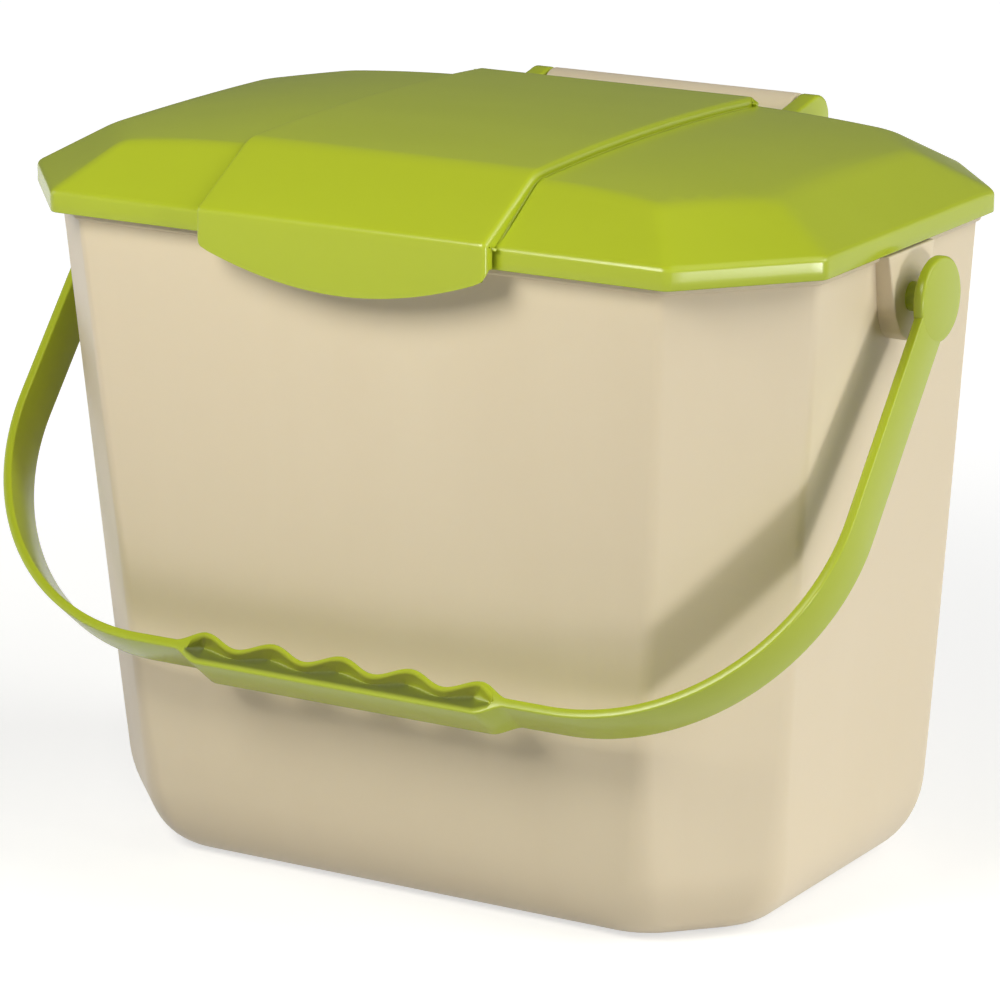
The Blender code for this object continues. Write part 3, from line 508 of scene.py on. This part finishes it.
def bandTop(y):
    crest = lid["rimZ"] + lid["rise"] + band["step"]
    crown = crest - lid["crown"] * (y / lid["crownReach"]) ** 2
    creaseZ = crest - lid["crown"] * (band["creaseY"] / lid["crownReach"]) ** 2
    grade = (creaseZ - band["frontZ"]) / (band["creaseY"] - band["frontY"])
    slope = band["frontZ"] + grade * (y - band["frontY"])
    return softMin(crown, slope, lid["creaseSoftness"]), math.atan(grade)


def lipLow(x):  # the lip's lower edge, bowed and with rounded ends
    half = band["half"] * (1 - band["narrowing"])
    low = mix(band["lipLowZ"], band["lipEndZ"], clamp(abs(x) / half) ** band["bow"])
    turn = clamp(1 + (abs(x) - half) / band["cornerRadius"])
    return low + band["cornerRadius"] * (1 - math.sqrt(1 - turn * turn))


def bandPath():
    # (y, z, outward y, outward z) from the back end over the top to the lip's edge
    radius, turn = band["backRadius"], math.radians(90)
    backZ = bandTop(band["backY"] - radius)[0]
    path = [(band["backY"], backZ - band["sideDepth"], 1.0, 0.0)]
    for k in range(band["backSteps"]):
        angle = turn * k / band["backSteps"]
        c, s = math.cos(angle), math.sin(angle)
        path.append((band["backY"] - radius + radius * c, backZ - radius + radius * s, c, s))
    slope = bandTop(0.0)[1]
    radius = band["frontRadius"]
    centreY = band["frontY"] + radius
    centreZ = band["frontZ"] + math.tan(slope) * radius - radius / math.cos(slope)
    arcY = centreY - radius * math.sin(slope)
    crease, fine = band["creaseY"], band["fineRun"]
    ys = steps(band["backY"] - band["backRadius"], crease + band["creaseRun"], band["longStep"])
    ys += steps(crease + fine, crease - fine, band["fineStep"])
    ys += steps(crease - band["creaseRun"], arcY, band["slopeStep"])[:-1]
    far = cuts["slopeReach"]
    for y in ys:
        rise = (bandTop(y + far)[0] - bandTop(y - far)[0]) / (2 * far)
        length = math.hypot(rise, 1)
        path.append((y, bandTop(y)[0], -rise / length, 1 / length))
    for k in range(band["frontSteps"] + 1):
        angle = mix(slope, turn, k / band["frontSteps"])
        c, s = math.cos(angle), math.sin(angle)
        path.append((centreY - radius * s, centreZ + radius * c, -s, c))
    return path


def buildBand():
    half, shoulder = band["half"], band["shoulder"]
    # each column has its place across the band and how far it hangs, with None for a whole side
    columns = [(x, 0.0) for x in steps(0.0, half - shoulder, band["columnStep"])]
    for k in range(1, band["shoulderSteps"] + 1):
        turn = math.radians(90) * k / band["shoulderSteps"]
        out, hang = shoulder * math.sin(turn), shoulder * (1 - math.cos(turn))
        columns.append((half - shoulder + out, hang))
    columns.append((half, None))
    columns = [(-x, hang) for x, hang in reversed(columns[1:])] + columns
    path = bandPath()
    lipZ = path[-1][1]
    bm = bmesh.new()
    chain = [bm.verts.new((x, 0, 0.001 * i)) for i, (x, hang) in enumerate(columns)]
    current = [bm.edges.new(pair) for pair in zip(chain, chain[1:])]
    for index in range(len(path) + band["lipRows"]):
        if index:
            current, chain = extrudeOn(bm, current, chain)
        y, z, outY, outZ = path[min(index, len(path) - 1)]
        toFront = clamp((band["creaseY"] - y) / (band["creaseY"] - band["frontY"]))
        towardRim = ease((band["rimStart"] - y) / band["rimRun"])
        towardLip = ease((band["lipStart"] - y) / band["lipRun"])
        deep = mix(band["sideDepth"], band["rimDepth"], towardRim)
        deep = mix(deep, band["lipDepth"], towardLip)
        for v, (x, hang) in zip(chain, columns):
            hang = min(deep, hang) if hang is not None else deep
            x *= 1 - band["narrowing"] * toFront
            place = Vector((x, y - outY * hang, z - outZ * hang))
            if index >= len(path):
                place.z = mix(lipZ, lipLow(x), (index - len(path) + 1) / band["lipRows"])
            v.co = place
    piece = finishPiece(bm, "lidBand", lime, "lid", "lid", sharp=50)
    wall = piece.modifiers.new("wall", "SOLIDIFY")
    wall.thickness = band["thickness"]
    wall.offset = -1
    edge = piece.modifiers.new("edge", "BEVEL")
    edge.width = band["edge"]
    edge.segments = 3
    edge.limit_method = "ANGLE"
    edge.angle_limit = math.radians(60)
    edge.use_clamp_overlap = True


sides = ((-1, "Left"), (1, "Right"))
hinge = {
    "y": 0.1128, "z": 0.2382, "knuckle": 0.0085, "arcFrom": 112, "arcSweep": 182,
    "arcSteps": 24, "neckRise": 0.0050, "rootBack": 0.0295, "rootIn": 0.0060,
    "rootDrop": 0.001, "heelIn": 0.0030, "heelRise": 0.0007, "earThickness": 0.0072,
    "earEdge": 0.0012, "gap": 0.0007, "pin": 0.0030, "pinLength": 0.0070, "pinRoot": 0.002,
    "pinEdge": 0.0004, "barrel": 0.0085, "barrelHalf": 0.0492, "barrelEdge": 0.0008,
    "plate": 0.0030, "lidGap": 0.0016, "drop": 0.0080, "bend": 0.0015, "webShort": 0.0004,
    "elbowRise": 0.0012, "elbowIn": 0.0010, "insideIn": 0.0025, "insideRise": 0.0015,
    "gusset": 0.0030, "gussetDrop": 0.0300, "gussetIn": 0.003, "gussetRise": 0.0030,
    "edge": 0.0005,
}


def buildEars():
    arc = []
    start, sweep = math.radians(hinge["arcFrom"]), math.radians(hinge["arcSweep"])
    for k in range(hinge["arcSteps"] + 1):
        angle = start - sweep * k / hinge["arcSteps"]
        arc.append((hinge["y"] + hinge["knuckle"] * math.cos(angle),
                    hinge["z"] + hinge["knuckle"] * math.sin(angle)))
    rootY = lid["backDepth"] - hinge["rootBack"] + hinge["rootIn"]
    neckZ = hinge["z"] + hinge["neckRise"]
    outline = [(rootY, neckZ), (hinge["y"] - 2 * hinge["knuckle"], neckZ)] + arc
    outline += [(lid["backDepth"] - hinge["heelIn"], lid["rimZ"] + hinge["heelRise"]),
                (rootY, hinge["z"] - hinge["rootDrop"])]
    inner = hinge["barrelHalf"] + hinge["gap"]
    for side, word in sides:
        x = side * (inner + hinge["earThickness"] / 2)
        ear = plateAlongX(outline, x, hinge["earThickness"], hinge["earEdge"], steps=4, sharp=40)
        root, tip = side * (inner + hinge["pinRoot"]), side * (inner - hinge["pinLength"])
        pin = barAlongX(hinge["pin"], root, tip, hinge["y"], hinge["z"], hinge["pinEdge"],
                        steps=2, segments=32)
        joinInto(ear, pin)
        finishPiece(ear, "hingeEar" + word, lime, "lid", "lid", sharp=35)


rib = {
    "frontHalf": 0.1102, "backHalf": 0.1114, "halfWidth": 0.1452, "halfDepth": 0.0932,
    "sideFront": 0.0547, "sideBack": 0.0580, "inset": 0.0032, "thickness": 0.0022,
    "cornerRadius": 0.0030, "longEdge": 0.02, "edgeCuts": 12, "edge": 0.0005,
}


def buildRib():
    corners = bothSides([
        (rib["frontHalf"], -rib["halfDepth"]), (rib["halfWidth"], -rib["sideFront"]),
        (rib["halfWidth"], rib["sideBack"]), (rib["backHalf"], rib["halfDepth"]),
    ])
    bm = bmesh.new()
    for inset in (rib["inset"], rib["inset"] + rib["thickness"]):
        ring = [bm.verts.new((x, y, lid["footZ"])) for x, y in insetCorners(corners, inset)]
        bm.faces.new(ring)
    bmesh.ops.bevel(
        bm, geom=list(bm.verts), offset=rib["cornerRadius"], segments=4, profile=0.5,
        affect="VERTICES", clamp_overlap=False, material=-1,
    )
    bmesh.ops.delete(bm, geom=list(bm.faces), context="FACES_ONLY")
    flats = [e for e in bm.edges if e.calc_length() > rib["longEdge"]]
    bmesh.ops.subdivide_edges(bm, edges=flats, cuts=rib["edgeCuts"])
    bmesh.ops.bridge_loops(bm, edges=list(bm.edges))
    top = bmesh.ops.extrude_face_region(bm, geom=list(bm.faces))
    for v in vertsOf(top):
        v.co.z = domeHeight(v.co.x, v.co.y) - lid["shell"]
    bmesh.ops.recalc_face_normals(bm, faces=bm.faces)
    low = [e for e in sharpEdges(bm, 60) if max(v.co.z for v in e.verts) < lid["footZ"] + 1e-5]
    roundEdges(bm, low, rib["edge"], steps=2)
    finishPiece(bm, "lidLocatingRib", lime, "lid", "lid", sharp=40)


buildDome()
print("lid dome built")
buildBand()
buildEars()
buildRib()
print("lid band, lip, ears and rib built")


tub = {  # the pairs are sizes at the base and at the rim
    "rimZ": 0.2302, "halfWidth": (0.1264, 0.1452), "frontDepth": (0.0770, 0.0932),
    "frontHalf": (0.0938, 0.1102), "sideFront": (0.0430, 0.0547), "backDepth": (0.0880, 0.0932),
    "backHalf": (0.1046, 0.1114), "sideBack": (0.0640, 0.0580), "wall": 0.0024, "floor": 0.0028,
    "footInset": 0.0170, "footHeight": 0.0260, "footSteps": 14, "wallSteps": 16,
    "radiusRim": 0.0050, "radiusBase": 0.0290, "fade": 0.0240, "arcSteps": 9, "flatSteps": 10,
    "bandHeight": 0.0082, "bandProud": 0.0015, "bandLead": 0.0008,
    "bandEdge": ((-0.0002, 0.0), (0.0, 0.25), (0.0003, 0.7), (0.0008, 1.0)),
    "beadRise": 0.0014, "beadSteps": 12, "innerTop": 0.004, "innerSteps": 10, "sunk": 0.6,
}


def tubSize(name, z):
    return mix(*tub[name], z / tub["rimZ"])


def tubOutline(z, inset):
    corners = bothSides([
        (tubSize("frontHalf", z), -tubSize("frontDepth", z)),
        (tubSize("halfWidth", z), -tubSize("sideFront", z)),
        (tubSize("halfWidth", z), tubSize("sideBack", z)),
        (tubSize("backHalf", z), tubSize("backDepth", z)),
    ])
    corners = insetCorners(corners, inset)
    swell = math.exp(-z / tub["fade"])
    least = tub["radiusRim"]
    radius = least * (2 - z / tub["rimZ"]) + (tub["radiusBase"] - 2 * least) * swell
    radius = max(radius - inset * 0.5, least * 0.4)
    return roundedPath(corners, radius, tub["arcSteps"], tub["flatSteps"])


def tubProfile():
    # (height, inset) up the outside from the foot to the rim, then down the inside
    rows = []
    rimZ, wall, footSteps = tub["rimZ"], tub["wall"], tub["footSteps"]
    for k in range(footSteps + 1):
        angle = math.pi / 2 * k / footSteps
        rise, inset = 1 - math.cos(angle), 1 - math.sin(angle)
        rows.append((tub["footHeight"] * rise, tub["footInset"] * inset))
    bandLow = rimZ - tub["bandHeight"]
    for k in range(1, tub["wallSteps"] + 1):
        share = k / tub["wallSteps"]
        rows.append((mix(tub["footHeight"], bandLow - tub["bandLead"], share), 0.0))
    proud = -tub["bandProud"]
    rows += [(bandLow + rise, proud * share) for rise, share in tub["bandEdge"]]
    rows.append((rimZ - tub["beadRise"], proud))
    half = (wall + tub["bandProud"]) / 2
    middle = (proud + wall) / 2
    for k in range(1, tub["beadSteps"]):
        angle = math.pi * k / tub["beadSteps"]
        height = rimZ - tub["beadRise"] * (1 - math.sin(angle))
        rows.append((height, middle - half * math.cos(angle)))
    rows.append((rimZ - tub["beadRise"], wall))
    high, low = rimZ - tub["innerTop"], tub["footHeight"]
    rows += [(mix(high, low, k / tub["innerSteps"]), wall) for k in range(tub["innerSteps"])]
    for k in range(footSteps + 1):
        angle = math.pi / 2 * (1 - k / footSteps)
        rise, inset = 1 - math.cos(angle), 1 - math.sin(angle)
        rows.append((tub["floor"] + (low - tub["floor"]) * rise, wall + tub["footInset"] * inset))
    return rows


def buildTub():
    rings = [[(p.x, p.y, z) for p in tubOutline(z, inset)] for z, inset in tubProfile()]
    bm = bmesh.new()
    for ends in sweepRings(bm, rings):
        bmesh.ops.edgeloop_fill(bm, edges=ends)
    finishPiece(bm, "tub", beige, "tub", "bucket", sharp=38)


pivot = {
    "z": 0.2087, "padFace": 0.14974, "proud": 0.0063, "topZ": 0.2243, "topHalf": 0.0163,
    "shoulderHalf": 0.0107, "shoulderBelow": 0.0051, "footBelow": 0.0143, "edge": 0.0007,
    "waistShare": 0.62, "waistDrop": 0.68, "tipShare": 0.22,
}


def buildPads():
    shoulder = pivot["z"] - pivot["shoulderBelow"]
    foot = pivot["z"] - pivot["footBelow"]
    wide = pivot["shoulderHalf"]
    half = [(pivot["topHalf"], pivot["topZ"]), (wide, shoulder),
            (wide * pivot["waistShare"], mix(shoulder, foot, pivot["waistDrop"])),
            (wide * pivot["tipShare"], foot)]
    outline = [(-y, z) for y, z in half] + list(reversed(half))
    depth = pivot["proud"] + tub["wall"] * tub["sunk"]
    for side, word in sides:
        x = side * (pivot["padFace"] - depth / 2)
        pad = plateAlongX(outline, x, depth, pivot["edge"], steps=3, sharp=12)
        finishPiece(pad, "pivotPad" + word, beige, "tub", "bucket", sharp=18)


def buildBracket():
    sunk = tub["wall"] * tub["sunk"]
    wallY = tubSize("backDepth", tub["rimZ"] - tub["bandHeight"]) - sunk
    frontY = lid["backDepth"] + hinge["lidGap"]
    lowZ = lid["footZ"] - hinge["drop"]
    bendZ = lid["footZ"] - hinge["bend"]
    plate, barrel, half = hinge["plate"], hinge["barrel"], hinge["barrelHalf"]
    outline = [
        (wallY, lowZ), (frontY - hinge["elbowIn"], lowZ + hinge["elbowRise"]),
        (frontY + plate * 0.8, bendZ), (frontY + plate, hinge["z"] - barrel * 0.6),
        (hinge["y"], hinge["z"]), (frontY, hinge["z"] - barrel * 0.3),
        (frontY, bendZ + hinge["insideRise"]),
        (frontY - hinge["insideIn"], lowZ + hinge["elbowRise"] + plate), (wallY, lowZ + plate),
    ]
    web = plateAlongX(outline, 0.0, 2 * half - hinge["webShort"], hinge["edge"], steps=3, sharp=20)
    finishPiece(web, "hingeBracket", beige, "tub", "bucket", sharp=35)
    bar = barAlongX(barrel, -half, half, hinge["y"], hinge["z"], hinge["barrelEdge"],
                    steps=4, segments=72)
    finishPiece(bar, "hingeBarrel", beige, "tub", "bucket", sharp=40)
    ribLow = lowZ - hinge["gussetDrop"]
    gusset = [(tubSize("backDepth", ribLow) - sunk, ribLow),
              (frontY + plate * 0.5, lowZ + hinge["gussetRise"]), (frontY + plate * 0.5, bendZ),
              (wallY, lowZ + plate * 0.5)]
    bm = bmesh.new()
    for side in (-1, 1):
        for x in (half - hinge["gussetIn"], half / 3):
            joinInto(bm, plateAlongX(gusset, side * x, hinge["gusset"], hinge["edge"],
                                     steps=3, sharp=20))
    finishPiece(bm, "hingeGussets", beige, "tub", "bucket", sharp=35)


buildTub()
buildPads()
buildBracket()
print("tub built")


handle = {
    "armCentre": 0.15904, "strap": 0.0032, "width": 0.0170, "reach": 0.1622, "tilt": 39.0,
    "cornerRadius": 0.0800, "cornerSteps": 40, "armStart": 0.004, "armStep": 0.006,
    "pitch": 0.0264, "waves": 4, "waveSteps": 16, "waveHeight": 0.0040, "innerBulge": 0.0042,
    "outerBulge": 0.0041, "endRun": 0.0110, "endSteps": 16, "pocketReach": 0.55,
    "tipShare": 0.3, "rail": 0.0024, "web": 0.0040, "edge": 0.0006,
    "disc": 0.0140, "discThickness": 0.0042, "discEdge": 0.0010, "flush": 0.00005,
    "stud": 0.0048, "studEnd": 0.14134, "studSunk": 0.001, "studEdge": 0.0005,
}


def gripInner(x):
    crest = handle["reach"] - handle["strap"] / 2 - handle["innerBulge"]
    return crest + handle["waveHeight"] * (1 - math.cos(2 * math.pi * x / handle["pitch"])) / 2


def strapStations():
    # each station: outer edge, far rail's inner side, wavy rail's outer side, finger side
    half, reach = handle["strap"] / 2, handle["reach"]
    radius = handle["cornerRadius"]
    cx, cr = handle["armCentre"] - radius, reach - radius
    gripHalf = handle["pitch"] * handle["waves"] / 2
    shoulder = gripHalf + handle["endRun"]
    pocketTip = gripHalf + handle["endRun"] * handle["pocketReach"]
    farSide = reach + half + handle["outerBulge"]
    farRail = farSide - handle["rail"]
    rows = []

    def plain(outer, inner):
        rows.append((outer, outer.lerp(inner, 0.5), outer.lerp(inner, 0.5), inner))

    for r in steps(handle["armStart"], cr, handle["armStep"])[:-1]:
        plain(Vector((handle["armCentre"] + half, r)), Vector((handle["armCentre"] - half, r)))
    for k in range(handle["cornerSteps"] + 1):
        angle = math.pi / 2 * k / handle["cornerSteps"]
        c, s = math.cos(angle), math.sin(angle)
        plain(Vector((cx + (radius + half) * c, cr + (radius + half) * s)),
              Vector((cx + (radius - half) * c, cr + (radius - half) * s)))
    for k in range(1, handle["endSteps"] + 1):
        x = mix(shoulder, gripHalf, k / handle["endSteps"])
        bulge = ease(k / handle["endSteps"])
        outer = Vector((x, reach + half + handle["outerBulge"] * bulge))
        inner = Vector((x, reach - half - handle["innerBulge"] * bulge))
        if x >= pocketTip - 1e-6:
            plain(outer, inner)
        else:
            t = (pocketTip - x) / (pocketTip - gripHalf)
            tip = reach + handle["strap"] * handle["tipShare"]
            rows.append((outer, Vector((x, mix(tip, farRail, t))),
                         Vector((x, mix(tip, gripInner(gripHalf) + handle["rail"], t))), inner))
    for k in range(1, handle["waveSteps"] * handle["waves"] // 2 + 1):
        x = gripHalf - handle["pitch"] * k / handle["waveSteps"]
        inner = gripInner(x)
        rows.append((Vector((x, farSide)), Vector((x, farRail)),
                     Vector((x, inner + handle["rail"])), Vector((x, inner))))
    mirrored = [tuple(Vector((-p.x, p.y)) for p in row) for row in reversed(rows[:-1])]
    return rows + mirrored


def onPivot(bm):
    tilt = Matrix.Rotation(math.radians(-handle["tilt"]), 4, "X")
    place = Matrix.Translation((0, 0, pivot["z"])) @ tilt
    bmesh.ops.transform(bm, matrix=place, verts=bm.verts)


def buildStrap():
    rows = strapStations()
    last = len(rows) - 1
    bm = bmesh.new()
    bmesh.ops.create_grid(bm, x_segments=last, y_segments=3, size=1.0)
    spot = {v: (round((v.co.x + 1) / 2 * last), round((v.co.y + 1) / 2 * 3)) for v in bm.verts}
    low = -handle["width"] / 2
    for face in bm.faces:
        spots = [spot[v] for v in face.verts]
        wide = any((rows[i][1] - rows[i][2]).length > 1e-6 for i, j in spots)
        if {j for i, j in spots} == {1, 2} and wide:
            face.material_index = 1
    for v, (i, j) in spot.items():
        point = rows[i][j]
        v.co = (point.x, low, -point.y)
    bmesh.ops.remove_doubles(bm, verts=bm.verts, dist=1e-6)
    made = bmesh.ops.extrude_face_region(bm, geom=list(bm.faces))
    bmesh.ops.translate(bm, verts=vertsOf(made), vec=(0, handle["width"], 0))
    bmesh.ops.recalc_face_normals(bm, faces=bm.faces)
    depth = (handle["width"] - handle["web"]) / 2
    for side in (-1, 1):  # a copy of the faces between the rails goes down to the web
        pocket = [f for f in bm.faces if f.material_index == 1
                  and all(v.co.y * side > handle["width"] / 2 - 1e-6 for v in f.verts)]
        sunk = bmesh.ops.extrude_face_region(bm, geom=pocket)
        bmesh.ops.translate(bm, verts=vertsOf(sunk), vec=(0, -side * depth, 0))
    for face in bm.faces:
        face.material_index = 0
    bmesh.ops.recalc_face_normals(bm, faces=bm.faces)
    roundEdges(bm, sharpEdges(bm, 55), handle["edge"], steps=3)
    onPivot(bm)
    finishPiece(bm, "handleStrap", limeHandle, "handle", "handle", sharp=45)


def buildDiscs():
    inner = handle["armCentre"] - handle["discThickness"] / 2
    outer = handle["armCentre"] + handle["strap"] / 2 + handle["flush"]  # level with the strap
    for side, word in sides:
        disc = barAlongX(handle["disc"], side * inner, side * outer, 0, 0, handle["discEdge"],
                         steps=4, segments=96)
        start, end = side * handle["studEnd"], side * (inner + handle["studSunk"])
        stud = barAlongX(handle["stud"], start, end, 0, 0, handle["studEdge"],
                         steps=3, segments=48)
        joinInto(disc, stud)
        onPivot(disc)
        name = "pivotDisc" + word
        finishPiece(disc, name, limeHandle, "handle", "handle", sharp=40)


buildStrap()
buildDiscs()
print("handle built")


studio = {
    "floorColour": 0.55, "floorHalf": 30.0, "floorDrop": 0.0004, "floorRoughness": 0.9,
    "floorGlow": (0.62, 0.80), "glowReach": (0.2, 0.8), "worldFill": 0.02,
}
card = {
    "turn": 31, "radius": 1.7, "half": 2.2, "from": 2, "to": 125, "glow": 0.15, "across": 4,
    "along": 24,
}
suns = [
    {"name": "sideLight", "turn": 77, "rise": -7, "level": 0.33, "spread": 10,
     "colour": (1.0, 1.0, 0.98)},
    {"name": "rightLight", "turn": 103, "rise": 33, "level": 0.56, "spread": 40,
     "colour": (1.0, 1.0, 0.93)},
    {"name": "leftLight", "turn": -75, "rise": 25, "level": 0.09, "spread": 50,
     "colour": (1.0, 1.0, 1.3)},
    {"name": "backLight", "turn": 188, "rise": 6, "level": 0.34, "spread": 50,
     "colour": (1.0, 1.0, 1.0)},
]
boxes = [
    {"name": "keyBox", "turn": -17, "rise": 34, "level": 0.77, "distance": 0.70, "size": 0.35,
     "target": (0.07, -0.05, 0.18), "colour": (1.0, 0.99, 0.89)},
    {"name": "topBox", "turn": 90, "rise": 58, "level": 0.13, "distance": 0.42, "size": 0.30,
     "target": (0.11, 0.0, 0.20), "colour": (1.0, 1.0, 0.90)},
]


def addPlain(bm, name):
    mesh = bpy.data.meshes.new(name)
    bm.to_mesh(mesh)
    bm.free()
    made = bpy.data.objects.new(name, mesh)
    scene.collection.objects.link(made)
    return made


def either(nodes, links, first, second):  # 1 where either of two ray tests holds
    made = nodes.new("ShaderNodeMath")
    made.operation = "MAXIMUM"
    links.new(first, made.inputs[0])
    links.new(second, made.inputs[1])
    return made.outputs["Value"]


def buildFloor():
    bm = bmesh.new()
    bmesh.ops.create_grid(bm, x_segments=1, y_segments=1, size=studio["floorHalf"])
    floor = addPlain(bm, "floor")
    floor.location.z = -studio["floorDrop"]
    material = bpy.data.materials.new("paleFloor")
    material.use_nodes = True
    nodes, links = material.node_tree.nodes, material.node_tree.links
    shader = nodes["Principled BSDF"]
    shader.inputs["Base Color"].default_value = (*[studio["floorColour"]] * 3, 1)
    shader.inputs["Roughness"].default_value = studio["floorRoughness"]
    shader.inputs["Specular IOR Level"].default_value = 0.0
    # the floor glows to the eye and in gloss, less near the pail, so that its shadow stays
    rays = nodes.new("ShaderNodeLightPath")
    seen = either(nodes, links, rays.outputs["Is Camera Ray"], rays.outputs["Is Glossy Ray"])
    place = nodes.new("ShaderNodeTexCoord")
    reach = nodes.new("ShaderNodeVectorMath")
    reach.operation = "LENGTH"
    links.new(place.outputs["Object"], reach.inputs[0])
    fade = nodes.new("ShaderNodeMapRange")
    fade.interpolation_type = "SMOOTHSTEP"
    near, far = studio["glowReach"]
    low, high = studio["floorGlow"]
    fade.inputs["From Min"].default_value = near
    fade.inputs["From Max"].default_value = far
    fade.inputs["To Min"].default_value = low
    fade.inputs["To Max"].default_value = high
    links.new(reach.outputs["Value"], fade.inputs["Value"])
    glow = nodes.new("ShaderNodeMath")
    glow.operation = "MULTIPLY"
    links.new(seen, glow.inputs[0])
    links.new(fade.outputs["Result"], glow.inputs[1])
    shader.inputs["Emission Color"].default_value = (1, 1, 1, 1)
    links.new(glow.outputs["Value"], shader.inputs["Emission Strength"])
    floor.data.materials.append(material)
    floor.visible_shadow = False  # the side light stands a little below the table's edge


def buildWorld():
    world = bpy.data.worlds.new("studio")
    scene.world = world
    world.use_nodes = True
    nodes, links = world.node_tree.nodes, world.node_tree.links
    background = nodes["Background"]
    background.inputs["Color"].default_value = (1, 1, 1, 1)
    rays = nodes.new("ShaderNodeLightPath")
    seen = either(nodes, links, rays.outputs["Is Camera Ray"], rays.outputs["Is Transmission Ray"])
    both = either(nodes, links, seen, rays.outputs["Is Glossy Ray"])
    level = nodes.new("ShaderNodeMapRange")
    level.inputs["To Min"].default_value = studio["worldFill"]
    level.inputs["To Max"].default_value = 1.0
    links.new(both, level.inputs["Value"])
    links.new(level.outputs["Result"], background.inputs["Strength"])


def buildCard():
    # a dim card bent from behind over the top, seen only in gloss, so that the lid doesn't
    # mirror pure white
    bm = bmesh.new()
    bmesh.ops.create_grid(bm, x_segments=card["across"], y_segments=card["along"], size=1.0)
    turn = math.radians(card["turn"])
    away = Vector((-math.sin(turn), math.cos(turn), 0))
    across = Vector((math.cos(turn), math.sin(turn), 0))
    for v in bm.verts:
        rise = math.radians(mix(card["from"], card["to"], (v.co.y + 1) / 2))
        bow = away * math.cos(rise) + Vector((0, 0, math.sin(rise)))
        v.co = bow * card["radius"] + across * v.co.x * card["half"]
    piece = addPlain(bm, "dimCard")
    material = bpy.data.materials.new("dimCard")
    material.use_nodes = True
    shader = material.node_tree.nodes["Principled BSDF"]
    shader.inputs["Base Color"].default_value = (0, 0, 0, 1)
    shader.inputs["Specular IOR Level"].default_value = 0.0
    shader.inputs["Emission Color"].default_value = (1, 1, 1, 1)
    shader.inputs["Emission Strength"].default_value = card["glow"]
    piece.data.materials.append(material)
    piece.visible_camera = False
    piece.visible_diffuse = False
    piece.visible_shadow = False
    piece.visible_transmission = False


def toward(turn, rise):  # degrees, turned from the front to the right and risen off the table
    turn, rise = math.radians(turn), math.radians(rise)
    flat = math.cos(rise)
    return Vector((math.sin(turn) * flat, -math.cos(turn) * flat, math.sin(rise)))


def addLamp(look, kind):
    light = bpy.data.lights.new(look["name"], kind)
    light.color = look["colour"]
    lamp = bpy.data.objects.new(look["name"], light)
    back = toward(look["turn"], look["rise"])
    lamp.rotation_euler = back.to_track_quat("Z", "Y").to_euler()
    if kind == "SUN":
        light.energy = math.pi * look["level"]
        light.angle = math.radians(look["spread"])
    else:
        light.energy = (math.pi * look["distance"]) ** 2 * look["level"]
        light.shape = "DISK"
        light.size = look["size"]
        lamp.location = Vector(look["target"]) + back * look["distance"]
    scene.collection.objects.link(lamp)


shot = {
    "target": (0.0421, -0.0760, 0.1438), "turn": 30.97, "rise": 15.17, "distance": 1.6041,
    "lens": 180, "sensor": 36, "clip": (0.05, 100),
}


def buildCamera():
    back = toward(shot["turn"], shot["rise"])
    data = bpy.data.cameras.new("camera")
    data.lens = shot["lens"]
    data.sensor_width = shot["sensor"]
    data.clip_start, data.clip_end = shot["clip"]
    camera = bpy.data.objects.new("camera", data)
    camera.location = Vector(shot["target"]) + back * shot["distance"]
    camera.rotation_euler = back.to_track_quat("Z", "Y").to_euler()
    scene.collection.objects.link(camera)
    scene.camera = camera


buildFloor()
buildWorld()
buildCard()
for look in suns:
    addLamp(look, "SUN")
for look in boxes:
    addLamp(look, "AREA")
buildCamera()
scene.view_settings.view_transform = "Standard"
print("studio ready")
